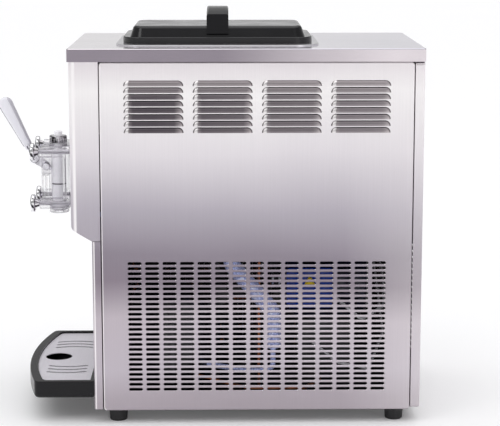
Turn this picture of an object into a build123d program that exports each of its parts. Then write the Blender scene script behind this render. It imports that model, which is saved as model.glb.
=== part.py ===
from build123d import *

import math
import os

os.makedirs("parts", exist_ok=True)

# A countertop soft-serve ice cream maker. Millimetres, +Z up, the dispensing side faces -Y.
# Depths are measured backwards from the front edge of the top cover: y_at(depth) gives Y.

# ------------------------------------------------------------------ driving dimensions
FRONT = -258.2
SHEET = 1.5
COVER_WIDTH = 400.0
COVER_LENGTH = 655.0
COVER_TOP = 706.0
COVER_LIP = 24.0
LIP_BOTTOM = COVER_TOP - COVER_LIP

PANEL_X = 198.6
PANEL_FRONT = 58.0
PANEL_REAR = 635.0
PANEL_BOTTOM = 25.0
PANEL_FLANGE = 14.0
REAR_FACE = 653.5
UPPER_FACE = 2.4
UPPER_BOTTOM = 350.0
SLANT_TOP = 373.0
LOWER_FACE = 41.0
LOWER_TOP = 349.0
LOWER_BOTTOM = 28.0
FRONT_BACK = 57.0

SLOT_COLUMNS = 15
SLOT_ROWS = 26
SLOT_LENGTH = 25.5
SLOT_HEIGHT = 5.2
SLOT_PITCH_Y = 32.42
SLOT_PITCH_Z = 9.66
SLOT_CENTRE = 346.5
SLOT_MIDDLE_Z = 186.9
SLOT_ROLL = 0.7

LOUVRE_GROUPS = 4
LOUVRE_ROWS = 8
LOUVRE_LENGTH = 109.3
LOUVRE_HEIGHT = 10.0
LOUVRE_PROUD = 4.5
LOUVRE_SKIN = 1.0
LOUVRE_PITCH_Y = 126.4
LOUVRE_PITCH_Z = 12.3
LOUVRE_CENTRE = 347.0
LOUVRE_FIRST_Z = 552.2

FOOT_X = 168.0
FOOT_DEPTHS = (84.5, 607.6)
FOOT_RADIUS = 18.0
FOOT_HEIGHT = 25.0

HOPPER_DEPTH = 274.5
HOPPER_LENGTH = 326.0
HOPPER_WIDTH = 190.0
HOPPER_FLOOR = 555.0
FLANGE_LENGTH = 380.0
FLANGE_WIDTH = 300.0
FLANGE_TOP = 708.5
INLET_DEPTH = 250.0
INLET_RADIUS = 13.0

LID_LENGTH = 356.0
LID_WIDTH = 224.0
LID_RADIUS = 40.0
LID_RIM_TOP = 720.0
LID_SHELF = 13.0
LID_CROWN = 740.0
LID_WALL = 3.0
HANDLE_WIDTH = 41.0
HANDLE_TOP = 772.0

AXIS_Z = 446.0
BARREL_RADIUS = 48.0
BARREL_WALL = 2.0
BARREL_REAR = 292.0
STUD_OFFSET = 50.0
STUD_RADIUS = 4.0
STUD_TIP = -80.0

VALVE_DEPTH = -37.5
VALVE_BORE = 14.3
PISTON_RADIUS = 14.25
PISTON_BOTTOM = 388.0
PISTON_TOP = 478.0
PEG_RADIUS = 8.0
PEG_TOP = 530.0
PIVOT_DEPTH = -61.0
PIVOT_Z = 461.8
PIVOT_RADIUS = 3.0
FINGER_REACH = 22.0
FINGER_DROP = 27.0
FINGER_RADIUS = 5.0
GRIP_LEAN = 27.1

GEAR_MODULE = 1.5
PINION_TEETH = 15
WHEEL_TEETH = 60
GEAR_SPAN = GEAR_MODULE * (PINION_TEETH + WHEEL_TEETH) / 2
PINION_Z = AXIS_Z - GEAR_SPAN
PULLEY_DEPTH = 386.0
PULLEY_RADIUS = 75.0
MOTOR_PULLEY_RADIUS = 25.0
MOTOR_X = 60.0
MOTOR_Z = 250.0
MOTOR_RADIUS = 68.0

TRAY_HALF = 190.0
TRAY_BOTTOM = 47.0
TRAY_TOP = 80.0
TRAY_BOW = -97.0
TRAY_CORNER = -71.0
TRAY_PIN_X = 120.0
TRAY_PIN_Z = 62.0
TRAY_PIN_RADIUS = 5.0

RUNNING = 0.05
GAP = 0.3


def y_at(depth):
    """Y of a plane that lies this far behind the front edge of the top cover."""
    return FRONT + depth


def across(depth):
    """A vertical plane facing forwards-backwards: local x is X, local y is Z, normal is -Y."""
    return Plane(origin=(0, y_at(depth), 0), x_dir=(1, 0, 0), z_dir=(0, -1, 0))


def sideways(x):
    """A vertical plane facing sideways: local x is Y, local y is Z, normal is +X."""
    return Plane(origin=(x, 0, 0), x_dir=(0, 1, 0), z_dir=(1, 0, 0))


# ------------------------------------------------------------------ base, frame and deck
BASE_HALF = 183.5
BASE_FRONT = 60.0
BASE_REAR = 632.0
BASE_SHEET = 2.0
BASE_RIM = 12.0

with BuildPart() as base_pan:
    with BuildSketch(Plane.XY.offset(PANEL_BOTTOM)):
        with Locations((0, y_at((BASE_FRONT + BASE_REAR) / 2))):
            RectangleRounded(2 * BASE_HALF, BASE_REAR - BASE_FRONT, 4)
    extrude(amount=BASE_RIM)
    with BuildSketch(Plane.XY.offset(PANEL_BOTTOM + BASE_SHEET)):
        with Locations((0, y_at((BASE_FRONT + BASE_REAR) / 2))):
            RectangleRounded(2 * BASE_HALF - 2 * SHEET, BASE_REAR - BASE_FRONT - 2 * SHEET, 2.5)
    extrude(amount=BASE_RIM, mode=Mode.SUBTRACT)
base_pan.part.label = "base_pan"
export_step(base_pan.part, "parts/base_pan.step")

POST = 22.0
POST_WALL = 2.0
POST_OUTER = 181.0
POST_FRONT = 63.0
POST_REAR = 629.0
POST_TOP = COVER_TOP - SHEET
RAIL_BOTTOM = 684.0

with BuildPart() as frame:
    for side in (-1, 1):
        for corner, inward in ((POST_FRONT, 1), (POST_REAR, -1)):
            with BuildSketch(Plane.XY.offset(PANEL_BOTTOM + BASE_SHEET)):
                with Locations((side * (POST_OUTER - POST_WALL / 2), y_at(corner + inward * POST / 2))):
                    Rectangle(POST_WALL, POST)
                with Locations((side * (POST_OUTER - POST / 2), y_at(corner + inward * POST_WALL / 2))):
                    Rectangle(POST, POST_WALL)
            extrude(amount=POST_TOP - PANEL_BOTTOM - BASE_SHEET)
    with BuildSketch(Plane.XY.offset(RAIL_BOTTOM)):
        with Locations((0, y_at((POST_FRONT + POST_REAR) / 2))):
            Rectangle(2 * POST_OUTER, POST_REAR - POST_FRONT)
            Rectangle(2 * (POST_OUTER - POST_WALL), POST_REAR - POST_FRONT - 2 * POST_WALL,
                      mode=Mode.SUBTRACT)
    extrude(amount=POST_TOP - RAIL_BOTTOM)
frame.part.label = "frame"
export_step(frame.part, "parts/frame.step")

DECK_Z = 336.0
DECK_SHEET = 2.0
BELT_SLOT = (40.0, 386.0, 210.0, 40.0)
PIPE_SLOT = (152.0, 300.0, 50.0, 90.0)
CABLE_SLOT = (-130.0, 570.0, 60.0, 40.0)

with BuildPart() as mid_deck:
    with BuildSketch(Plane.XY.offset(DECK_Z)):
        with Locations((0, y_at((POST_FRONT + POST_REAR) / 2))):
            Rectangle(2 * POST_OUTER, POST_REAR - POST_FRONT)
        for side in (-1, 1):
            for corner, inward in ((POST_FRONT, 1), (POST_REAR, -1)):
                with Locations((side * (POST_OUTER - POST / 2), y_at(corner + inward * POST / 2))):
                    Rectangle(POST, POST, mode=Mode.SUBTRACT)
        for hole_x, hole_depth, hole_width, hole_length in (BELT_SLOT, PIPE_SLOT, CABLE_SLOT):
            with Locations((hole_x, y_at(hole_depth))):
                RectangleRounded(hole_width, hole_length, 6, mode=Mode.SUBTRACT)
    extrude(amount=DECK_SHEET)
mid_deck.part.label = "mid_deck"
export_step(mid_deck.part, "parts/mid_deck.step")

FOOT_TAPER = 1.5
FOOT_ROUND = 2.5
FOOT_RECESS = 5.5
FOOT_RECESS_DEPTH = 14.0

with BuildPart() as rubber_feet:
    for side in (-1, 1):
        for foot_depth in FOOT_DEPTHS:
            with BuildSketch(Plane.XY.offset(FOOT_HEIGHT)):
                with Locations((side * FOOT_X, y_at(foot_depth))):
                    Circle(FOOT_RADIUS)
            extrude(amount=-FOOT_HEIGHT, taper=math.degrees(math.atan(FOOT_TAPER / FOOT_HEIGHT)))
            with BuildSketch(Plane.XY):
                with Locations((side * FOOT_X, y_at(foot_depth))):
                    Circle(FOOT_RECESS)
            extrude(amount=FOOT_RECESS_DEPTH, mode=Mode.SUBTRACT)
    rim_edges = rubber_feet.edges().filter_by(GeomType.CIRCLE).group_by(Axis.Z)[0]
    fillet(rim_edges.filter_by(lambda e: e.radius > FOOT_RECESS + 1), FOOT_ROUND)
rubber_feet.part.label = "rubber_feet"
export_step(rubber_feet.part, "parts/rubber_feet.step")

# ------------------------------------------------------------------ side panels: tray-shaped sheets
PANEL_BEND = 3.0
PANEL_CORNER = 7.0


def slot_punch():
    """The tool that pierces one slot: straight through, with a rolled mouth on the outside."""
    with BuildPart() as punch:
        with BuildSketch(sideways(-PANEL_FLANGE)):
            SlotOverall(SLOT_LENGTH, SLOT_HEIGHT)
        extrude(amount=2 * PANEL_FLANGE)
        with BuildSketch(sideways(-SLOT_ROLL)):
            SlotOverall(SLOT_LENGTH, SLOT_HEIGHT)
        with BuildSketch(sideways(SLOT_ROLL)):
            SlotOverall(SLOT_LENGTH + 4 * SLOT_ROLL, SLOT_HEIGHT + 4 * SLOT_ROLL)
        loft()
    return punch.part


def quarter_ellipse(proud, radius):
    """Draws a quarter ellipse, outward and upward from the origin, in the sketch being made."""
    Ellipse(proud, radius)
    with Locations((-proud, 0)):
        Rectangle(2 * proud, 3 * radius, mode=Mode.SUBTRACT)
    with Locations((0, -radius)):
        Rectangle(3 * proud, 2 * radius, mode=Mode.SUBTRACT)


def hood_body(proud, radius, length):
    """One louvre hood: a quarter ellipse along Y with a rounded end each side, open side down."""
    straight = length - 2 * radius
    with BuildPart() as hood:
        with BuildSketch(Plane.XZ.offset(-straight / 2)):
            quarter_ellipse(proud, radius)
        extrude(amount=straight)
        for end in (-1, 1):
            with BuildSketch(Plane.XZ.offset(-end * straight / 2)):
                quarter_ellipse(proud, radius)
            revolve(axis=Axis((0, end * straight / 2, 0), (1, 0, 0)), revolution_arc=-end * 90)
    return hood.part


def side_panel_blank():
    """The panel on the +X side, without its openings."""
    with BuildPart() as blank:
        with BuildSketch(sideways(PANEL_X - PANEL_FLANGE)):
            with Locations((y_at((PANEL_FRONT + PANEL_REAR) / 2), (PANEL_BOTTOM + LIP_BOTTOM) / 2)):
                RectangleRounded(PANEL_REAR - PANEL_FRONT, LIP_BOTTOM - PANEL_BOTTOM, PANEL_CORNER)
        extrude(amount=PANEL_FLANGE)
        fillet(blank.faces().sort_by(Axis.X)[-1].edges(), PANEL_BEND)
        offset(amount=-SHEET, openings=blank.faces().sort_by(Axis.X)[0])
    return blank.part


def side_panel(label):
    """A panel with four groups of louvres and the field of slots below them."""
    louvre_spots = [
        (PANEL_X, y_at(LOUVRE_CENTRE + (column - (LOUVRE_GROUPS - 1) / 2) * LOUVRE_PITCH_Y),
         LOUVRE_FIRST_Z + row * LOUVRE_PITCH_Z)
        for column in range(LOUVRE_GROUPS)
        for row in range(LOUVRE_ROWS)
    ]
    slot_spots = [
        (PANEL_X, y_at(SLOT_CENTRE + (column - (SLOT_COLUMNS - 1) / 2) * SLOT_PITCH_Y),
         SLOT_MIDDLE_Z + (row - (SLOT_ROWS - 1) / 2) * SLOT_PITCH_Z)
        for column in range(SLOT_COLUMNS)
        for row in range(SLOT_ROWS)
    ]
    hood_outer = hood_body(LOUVRE_PROUD, LOUVRE_HEIGHT, LOUVRE_LENGTH)
    hood_inner = hood_body(LOUVRE_PROUD - LOUVRE_SKIN, LOUVRE_HEIGHT - LOUVRE_SKIN,
                           LOUVRE_LENGTH - 2 * LOUVRE_SKIN)
    with BuildPart() as window:
        with BuildSketch(sideways(-2 * SHEET)):
            with Locations((0, (LOUVRE_HEIGHT - LOUVRE_SKIN) / 2)):
                Rectangle(LOUVRE_LENGTH - 2 * LOUVRE_HEIGHT, LOUVRE_HEIGHT - LOUVRE_SKIN)
        extrude(amount=2 * SHEET)
    with BuildPart() as panel:
        add(side_panel_blank())
        with Locations(*louvre_spots):
            add(hood_outer)
        with Locations(*louvre_spots):
            add(hood_inner, mode=Mode.SUBTRACT)
        with Locations(*louvre_spots):
            add(window.part, mode=Mode.SUBTRACT)
        with Locations(*slot_spots):
            add(slot_punch(), mode=Mode.SUBTRACT)
    panel.part.label = label
    return panel.part


right_side_panel = side_panel("right_side_panel")
export_step(right_side_panel, "parts/right_side_panel.step")

left_side_panel = mirror(right_side_panel, about=Plane.YZ)
left_side_panel.label = "left_side_panel"
export_step(left_side_panel, "parts/left_side_panel.step")

# ------------------------------------------------------------------ rear panel
REAR_COLUMNS = 8
REAR_ROWS = 18
REAR_SLOT_PITCH_X = 34.0
REAR_SLOT_PITCH_Z = 12.0
REAR_SLOT_MIDDLE = 210.0
GLAND_X = -130.0
GLAND_Z = 66.0
GLAND_HOLE = 8.0
SCREW_SPOTS = [(x, z) for x in (-175.0, 175.0) for z in (60.0, 340.0, 640.0)]
SCREW_HOLE = 2.1

with BuildPart() as rear_panel:
    with BuildSketch(across(REAR_FACE)):
        with Locations((0, (LOWER_BOTTOM + LIP_BOTTOM) / 2)):
            RectangleRounded(2 * PANEL_X, LIP_BOTTOM - LOWER_BOTTOM, PANEL_CORNER)
    extrude(amount=REAR_FACE - PANEL_REAR - 1)
    fillet(rear_panel.faces().sort_by(Axis.Y)[-1].edges(), PANEL_BEND)
    offset(amount=-SHEET, openings=rear_panel.faces().sort_by(Axis.Y)[0])
    with BuildSketch(across(REAR_FACE + 1)):
        with Locations((0, REAR_SLOT_MIDDLE)):
            with GridLocations(REAR_SLOT_PITCH_X, REAR_SLOT_PITCH_Z, REAR_COLUMNS, REAR_ROWS):
                SlotOverall(SLOT_LENGTH, SLOT_HEIGHT)
        with Locations((GLAND_X, GLAND_Z)):
            Circle(GLAND_HOLE)
        with Locations(*SCREW_SPOTS):
            Circle(SCREW_HOLE)
    extrude(amount=2 * SHEET + 1, mode=Mode.SUBTRACT)
rear_panel.part.label = "rear_panel"
export_step(rear_panel.part, "parts/rear_panel.step")

SCREW_HEAD = 4.0
SCREW_HEAD_HEIGHT = 1.2
CROSS_LENGTH = 4.4
CROSS_WIDTH = 0.9
CROSS_DEPTH = 0.7
SCREW_LENGTH = 8.0

with BuildPart() as panel_screws:
    with BuildSketch(across(REAR_FACE)):
        with Locations(*SCREW_SPOTS):
            Circle(SCREW_HEAD)
    extrude(amount=-SCREW_HEAD_HEIGHT)
    fillet(panel_screws.faces().filter_by(Axis.Y).group_by(Axis.Y)[-1].edges(), 0.8)
    with BuildSketch(across(REAR_FACE + SCREW_HEAD_HEIGHT)):
        with Locations(*SCREW_SPOTS):
            Rectangle(CROSS_LENGTH, CROSS_WIDTH)
            Rectangle(CROSS_WIDTH, CROSS_LENGTH)
    extrude(amount=CROSS_DEPTH, mode=Mode.SUBTRACT)
    with BuildSketch(across(REAR_FACE)):
        with Locations(*SCREW_SPOTS):
            Circle(SCREW_HOLE - 0.1)
    extrude(amount=SCREW_LENGTH)
panel_screws.part.label = "panel_screws"
export_step(panel_screws.part, "parts/panel_screws.step")

GLAND_BORE = 4.5
GLAND_TIP = 668.0
GLAND_HEX = 12.0
GLAND_HEAD = 5.0
GLAND_DOME = 9.0
GLAND_TAPER = 12.0
GLAND_SHANK = 12.0
GLAND_NUT = 4.0

with BuildPart() as cable_gland:
    with BuildSketch(across(REAR_FACE)):
        with Locations((GLAND_X, GLAND_Z)):
            RegularPolygon(GLAND_HEX, 6)
    extrude(amount=-GLAND_HEAD)
    chamfer(cable_gland.faces().sort_by(Axis.Y)[-1].edges(), 0.8)
    with BuildSketch(across(REAR_FACE + GLAND_HEAD)):
        with Locations((GLAND_X, GLAND_Z)):
            Circle(GLAND_DOME)
    extrude(amount=-(GLAND_TIP - REAR_FACE - GLAND_HEAD), taper=GLAND_TAPER)
    with BuildSketch(across(REAR_FACE)):
        with Locations((GLAND_X, GLAND_Z)):
            Circle(GLAND_HOLE - 0.1)
    extrude(amount=GLAND_SHANK)
    with BuildSketch(across(REAR_FACE - GLAND_HEAD)):
        with Locations((GLAND_X, GLAND_Z)):
            RegularPolygon(GLAND_HEX, 6)
            Circle(GLAND_HOLE - 0.1, mode=Mode.SUBTRACT)
    extrude(amount=GLAND_NUT)
    with BuildSketch(across(GLAND_TIP)):
        with Locations((GLAND_X, GLAND_Z)):
            Circle(GLAND_BORE)
    extrude(amount=GLAND_TIP - REAR_FACE + 2 * GLAND_SHANK, mode=Mode.SUBTRACT)
cable_gland.part.label = "cable_gland"
export_step(cable_gland.part, "parts/cable_gland.step")

# ------------------------------------------------------------------ front panels
FRONT_BEND = 12.0
LOWER_BEND = 5.0
TRAY_PIN_LENGTH = 26.0
DISPLAY_Z = 622.0
DISPLAY_WIDTH = 66.0
DISPLAY_HEIGHT = 28.0
BUTTON_X = (-58.0, 0.0, 58.0)
BUTTON_Z = 582.0
BUTTON_HOLE = 9.0
BARREL_HOLE = 52.0

with BuildPart() as front_upper_panel:
    with BuildSketch(sideways(0)):
        with BuildLine():
            Polyline(
                (y_at(UPPER_FACE), LIP_BOTTOM),
                (y_at(UPPER_FACE), SLANT_TOP),
                (y_at(LOWER_FACE), UPPER_BOTTOM),
                (y_at(FRONT_BACK), UPPER_BOTTOM),
                (y_at(FRONT_BACK), LIP_BOTTOM),
                close=True,
            )
        make_face()
    extrude(amount=PANEL_X, both=True)
    bends = front_upper_panel.edges().filter_by(Axis.Z).group_by(Axis.Y)[0]
    fold = front_upper_panel.edges().filter_by(Axis.X).group_by(Axis.Y)[0].sort_by(Axis.Z)[0]
    fillet(bends + [fold], FRONT_BEND)
    open_faces = [front_upper_panel.faces().sort_by(axis)[-1] for axis in (Axis.Z, Axis.Y)]
    offset(amount=-SHEET, openings=open_faces)
    with BuildSketch(across(UPPER_FACE - 1)):
        with Locations((0, AXIS_Z)):
            Circle(BARREL_HOLE)
        with Locations((0, DISPLAY_Z)):
            Rectangle(DISPLAY_WIDTH, DISPLAY_HEIGHT)
        with Locations(*[(x, BUTTON_Z) for x in BUTTON_X]):
            Circle(BUTTON_HOLE)
    extrude(amount=-3 * SHEET, mode=Mode.SUBTRACT)
front_upper_panel.part.label = "front_upper_panel"
export_step(front_upper_panel.part, "parts/front_upper_panel.step")

with BuildPart() as front_lower_panel:
    with BuildSketch(Plane.XY.offset(LOWER_BOTTOM)):
        with Locations((0, y_at((LOWER_FACE + FRONT_BACK) / 2))):
            Rectangle(2 * PANEL_X, FRONT_BACK - LOWER_FACE)
    extrude(amount=LOWER_TOP - LOWER_BOTTOM)
    fillet(front_lower_panel.edges().filter_by(Axis.Z).group_by(Axis.Y)[0], LOWER_BEND)
    offset(amount=-SHEET, openings=front_lower_panel.faces().sort_by(Axis.Y)[-1])
    with BuildSketch(across(LOWER_FACE)):
        with Locations((-TRAY_PIN_X, TRAY_PIN_Z), (TRAY_PIN_X, TRAY_PIN_Z)):
            Circle(TRAY_PIN_RADIUS)
    extrude(amount=TRAY_PIN_LENGTH)
    chamfer(front_lower_panel.faces().filter_by(Axis.Y).group_by(Axis.Y)[0].edges(), 1)
front_lower_panel.part.label = "front_lower_panel"
export_step(front_lower_panel.part, "parts/front_lower_panel.step")

# ------------------------------------------------------------------ control panel
BEZEL_PROUD = 1.0
BEZEL_Z = 604.0
BEZEL_WIDTH = 210.0
BEZEL_HEIGHT = 90.0
BUTTON_RADIUS = 8.0
BUTTON_BACK = 3.0
BUTTON_RISE = 0.6
STEM_RADIUS = 3.0
STEM_LENGTH = 6.0
WINDOW_BACK = 4.0
WINDOW_INSET = 2.0

with BuildPart() as control_bezel:
    with BuildSketch(across(UPPER_FACE)):
        with Locations((0, BEZEL_Z)):
            RectangleRounded(BEZEL_WIDTH, BEZEL_HEIGHT, 10)
        with Locations((0, DISPLAY_Z)):
            RectangleRounded(DISPLAY_WIDTH - 2 * WINDOW_INSET, DISPLAY_HEIGHT - 2 * WINDOW_INSET, 3,
                             mode=Mode.SUBTRACT)
        with Locations(*[(x, BUTTON_Z) for x in BUTTON_X]):
            Circle(BUTTON_RADIUS + GAP, mode=Mode.SUBTRACT)
    extrude(amount=BEZEL_PROUD)
control_bezel.part.label = "control_bezel"
export_step(control_bezel.part, "parts/control_bezel.step")

with BuildPart() as display_window:
    with BuildSketch(across(UPPER_FACE)):
        with Locations((0, DISPLAY_Z)):
            Rectangle(DISPLAY_WIDTH - 0.4, DISPLAY_HEIGHT - 0.4)
    extrude(amount=-WINDOW_BACK)
    with BuildSketch(across(UPPER_FACE)):
        with Locations((0, DISPLAY_Z)):
            RectangleRounded(DISPLAY_WIDTH - 2 * WINDOW_INSET - 0.2,
                             DISPLAY_HEIGHT - 2 * WINDOW_INSET - 0.2, 2.9)
    extrude(amount=BEZEL_PROUD)
display_window.part.label = "display_window"
export_step(display_window.part, "parts/display_window.step")


def push_button(x):
    """A round key: its cap stands just proud of the bezel, its stem runs back to the switch."""
    with BuildPart() as button:
        with BuildSketch(across(UPPER_FACE + BUTTON_BACK)):
            with Locations((x, BUTTON_Z)):
                Circle(BUTTON_RADIUS)
        extrude(amount=BUTTON_BACK + BEZEL_PROUD + BUTTON_RISE)
        fillet(button.faces().sort_by(Axis.Y)[0].edges(), 0.9)
        with BuildSketch(across(UPPER_FACE + BUTTON_BACK)):
            with Locations((x, BUTTON_Z)):
                Circle(STEM_RADIUS)
        extrude(amount=-STEM_LENGTH)
    return button.part


for button_number, button_x in enumerate(BUTTON_X, start=1):
    button_name = f"push_button_{button_number}"
    button_part = push_button(button_x)
    button_part.label = button_name
    export_step(button_part, f"parts/{button_name}.step")

# ------------------------------------------------------------------ top cover
COVER_CORNER = 6.0
COVER_MIDDLE = (0, y_at(COVER_LENGTH / 2))

with BuildPart() as top_cover:
    with BuildSketch(Plane.XY.offset(LIP_BOTTOM)):
        with Locations(COVER_MIDDLE):
            RectangleRounded(COVER_WIDTH, COVER_LENGTH, COVER_CORNER)
    extrude(amount=COVER_LIP)
    fillet(top_cover.faces().sort_by(Axis.Z)[-1].edges(), 2)
    with BuildSketch(Plane.XY.offset(LIP_BOTTOM)):
        with Locations(COVER_MIDDLE):
            RectangleRounded(COVER_WIDTH - 2 * SHEET, COVER_LENGTH - 2 * SHEET, COVER_CORNER - SHEET)
    extrude(amount=COVER_LIP - SHEET, mode=Mode.SUBTRACT)
    with BuildSketch(Plane.XY.offset(COVER_TOP - 2 * SHEET)):
        with Locations((0, y_at(HOPPER_DEPTH))):
            RectangleRounded(HOPPER_WIDTH + 2 * SHEET, HOPPER_LENGTH + 2 * SHEET, 30)
    extrude(amount=3 * SHEET, mode=Mode.SUBTRACT)
top_cover.part.label = "top_cover"
export_step(top_cover.part, "parts/top_cover.step")

# ------------------------------------------------------------------ hopper and feed tube
HOPPER_RADIUS = 28.5
FLANGE_RADIUS = 52.0
FLOOR_RADIUS = 20.0

with BuildPart() as hopper_cavity:
    with BuildSketch(Plane.XY.offset(HOPPER_FLOOR)):
        with Locations((0, y_at(HOPPER_DEPTH))):
            RectangleRounded(HOPPER_WIDTH, HOPPER_LENGTH, HOPPER_RADIUS)
    extrude(amount=FLANGE_TOP - HOPPER_FLOOR + 1)
    fillet(hopper_cavity.faces().sort_by(Axis.Z)[0].edges(), FLOOR_RADIUS - SHEET)

with BuildPart() as hopper:
    with BuildSketch(Plane.XY.offset(HOPPER_FLOOR - SHEET)):
        with Locations((0, y_at(HOPPER_DEPTH))):
            RectangleRounded(HOPPER_WIDTH + 2 * SHEET, HOPPER_LENGTH + 2 * SHEET, HOPPER_RADIUS + SHEET)
    extrude(amount=FLANGE_TOP - HOPPER_FLOOR + SHEET)
    fillet(hopper.faces().sort_by(Axis.Z)[0].edges(), FLOOR_RADIUS)
    with BuildSketch(Plane.XY.offset(COVER_TOP)):
        with Locations((0, y_at(HOPPER_DEPTH))):
            RectangleRounded(FLANGE_WIDTH, FLANGE_LENGTH, FLANGE_RADIUS)
    extrude(amount=FLANGE_TOP - COVER_TOP)
    fillet(hopper.faces().sort_by(Axis.Z)[-1].edges(), 1)
    add(hopper_cavity.part, mode=Mode.SUBTRACT)
    with BuildSketch(Plane.XY.offset(HOPPER_FLOOR - 2 * SHEET)):
        with Locations((0, y_at(INLET_DEPTH))):
            Circle(INLET_RADIUS)
    extrude(amount=3 * SHEET, mode=Mode.SUBTRACT)
hopper.part.label = "hopper"
export_step(hopper.part, "parts/hopper.step")

FEED_TOP = 690.0
FEED_BOTTOM = 520.0
FEED_WALL = 2.0
FEED_COLLAR = 3.0
FEED_PORT_RADIUS = 3.0
FEED_PORT_RISE = 9.0

with BuildPart() as feed_tube:
    with BuildSketch(Plane.XY.offset(FEED_BOTTOM)):
        with Locations((0, y_at(INLET_DEPTH))):
            Circle(INLET_RADIUS - RUNNING)
            Circle(INLET_RADIUS - RUNNING - FEED_WALL, mode=Mode.SUBTRACT)
    extrude(amount=FEED_TOP - FEED_BOTTOM)
    with BuildSketch(Plane.XY.offset(HOPPER_FLOOR)):
        with Locations((0, y_at(INLET_DEPTH))):
            Circle(INLET_RADIUS + 2)
            Circle(INLET_RADIUS - RUNNING - FEED_WALL, mode=Mode.SUBTRACT)
    extrude(amount=FEED_COLLAR)
    with BuildSketch(across(INLET_DEPTH)):
        with Locations((0, HOPPER_FLOOR + FEED_PORT_RISE)):
            Circle(FEED_PORT_RADIUS)
    extrude(amount=2 * INLET_RADIUS, mode=Mode.SUBTRACT)
feed_tube.part.label = "feed_tube"
export_step(feed_tube.part, "parts/feed_tube.step")

# ------------------------------------------------------------------ hopper lid with its strap handle
LID_BOTTOM = FLANGE_TOP + 0.1
LID_CENTRE = (0, y_at(HOPPER_DEPTH))
DOME_LEAN = 20.0
DOME_ROUND = 7.0
SKIRT_GAP = 1.0
SKIRT_WALL = 2.0
SKIRT_DEPTH = 9.0
STRAP_END = 101.0
STRAP_SHOULDER = 92.0
STRAP_THICK = 9.0
STRAP_SHOULDER_Z = 762.0
STRAP_ROUND = 3.5


def strap_outline(end, shoulder, shoulder_z, crown_z, foot_z):
    """The side outline of the arched strap: legs up from the lid, then a shallow arch."""
    with BuildLine() as line:
        Polyline((-shoulder, shoulder_z), (-end, foot_z), (end, foot_z), (shoulder, shoulder_z))
        ThreePointArc((-shoulder, shoulder_z), (0, crown_z), (shoulder, shoulder_z))
    return line.line


with BuildPart() as hopper_lid:
    with BuildSketch(Plane.XY.offset(LID_BOTTOM)):
        with Locations(LID_CENTRE):
            RectangleRounded(LID_WIDTH, LID_LENGTH, LID_RADIUS)
    extrude(amount=LID_RIM_TOP - LID_BOTTOM)
    fillet(hopper_lid.faces().sort_by(Axis.Z)[-1].edges(), 2)
    with BuildSketch(Plane.XY.offset(LID_RIM_TOP)):
        with Locations(LID_CENTRE):
            RectangleRounded(LID_WIDTH - 2 * LID_SHELF, LID_LENGTH - 2 * LID_SHELF, LID_RADIUS - LID_SHELF)
    extrude(amount=LID_CROWN - LID_RIM_TOP, taper=DOME_LEAN)
    fillet(hopper_lid.faces().sort_by(Axis.Z)[-1].edges(), DOME_ROUND)
    with BuildSketch(Plane.XZ.offset(-y_at(HOPPER_DEPTH + HANDLE_WIDTH / 2))):
        add(make_face(strap_outline(STRAP_END, STRAP_SHOULDER, STRAP_SHOULDER_Z, HANDLE_TOP,
                                    LID_RIM_TOP + 6)))
    extrude(amount=HANDLE_WIDTH)
    with BuildSketch(Plane.XZ.offset(-y_at(HOPPER_DEPTH + HANDLE_WIDTH))):
        add(make_face(strap_outline(STRAP_SHOULDER - STRAP_THICK, STRAP_SHOULDER - 2 * STRAP_THICK,
                                    STRAP_SHOULDER_Z - STRAP_THICK, HANDLE_TOP - STRAP_THICK, LID_CROWN)))
    extrude(amount=2 * HANDLE_WIDTH, mode=Mode.SUBTRACT)
    top_edges = hopper_lid.edges().filter_by_position(Axis.Z, STRAP_SHOULDER_Z - 1, HANDLE_TOP + 1)
    fillet(top_edges.filter_by(GeomType.CIRCLE).group_by(SortBy.LENGTH)[-1], STRAP_ROUND)
    with BuildSketch(Plane.XY.offset(LID_BOTTOM)):
        with Locations(LID_CENTRE):
            RectangleRounded(LID_WIDTH - 2 * LID_WALL, LID_LENGTH - 2 * LID_WALL, LID_RADIUS - LID_WALL)
    extrude(amount=LID_RIM_TOP - LID_BOTTOM - LID_WALL, mode=Mode.SUBTRACT)
    with BuildSketch(Plane.XY.offset(LID_RIM_TOP - LID_WALL)):
        with Locations(LID_CENTRE):
            RectangleRounded(LID_WIDTH - 2 * (LID_SHELF + LID_WALL), LID_LENGTH - 2 * (LID_SHELF + LID_WALL),
                             LID_RADIUS - LID_SHELF - LID_WALL)
    extrude(amount=LID_CROWN - LID_RIM_TOP, taper=DOME_LEAN, mode=Mode.SUBTRACT)
    with BuildSketch(Plane.XY.offset(LID_BOTTOM - SKIRT_DEPTH)):
        with Locations(LID_CENTRE):
            RectangleRounded(HOPPER_WIDTH - 2 * SKIRT_GAP, HOPPER_LENGTH - 2 * SKIRT_GAP,
                             HOPPER_RADIUS - SKIRT_GAP)
            RectangleRounded(HOPPER_WIDTH - 2 * SKIRT_GAP - 2 * SKIRT_WALL,
                             HOPPER_LENGTH - 2 * SKIRT_GAP - 2 * SKIRT_WALL,
                             HOPPER_RADIUS - SKIRT_GAP - SKIRT_WALL, mode=Mode.SUBTRACT)
    extrude(amount=LID_RIM_TOP - LID_BOTTOM + SKIRT_DEPTH - 1)
hopper_lid.part.label = "hopper_lid"
export_step(hopper_lid.part, "parts/hopper_lid.step")

# ------------------------------------------------------------------ freezing barrel with its jacket
BARREL_OUTER = BARREL_RADIUS + BARREL_WALL
FACE_PLATE = 132.0
FACE_FRONT = -2.0
JACKET_RADIUS = 57.0
JACKET_WALL = 1.2
JACKET_FRONT = 24.0
JACKET_REAR = 226.0
END_PLATE = 6.0
BEARING_BOSS = 20.0
SHAFT_RADIUS = 12.0
STUB_RADIUS = 5.0
STUB_BORE = 4.0
STUB_FOOT = 370.0
STUB_DEPTHS = (44.0, 206.0)

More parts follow.
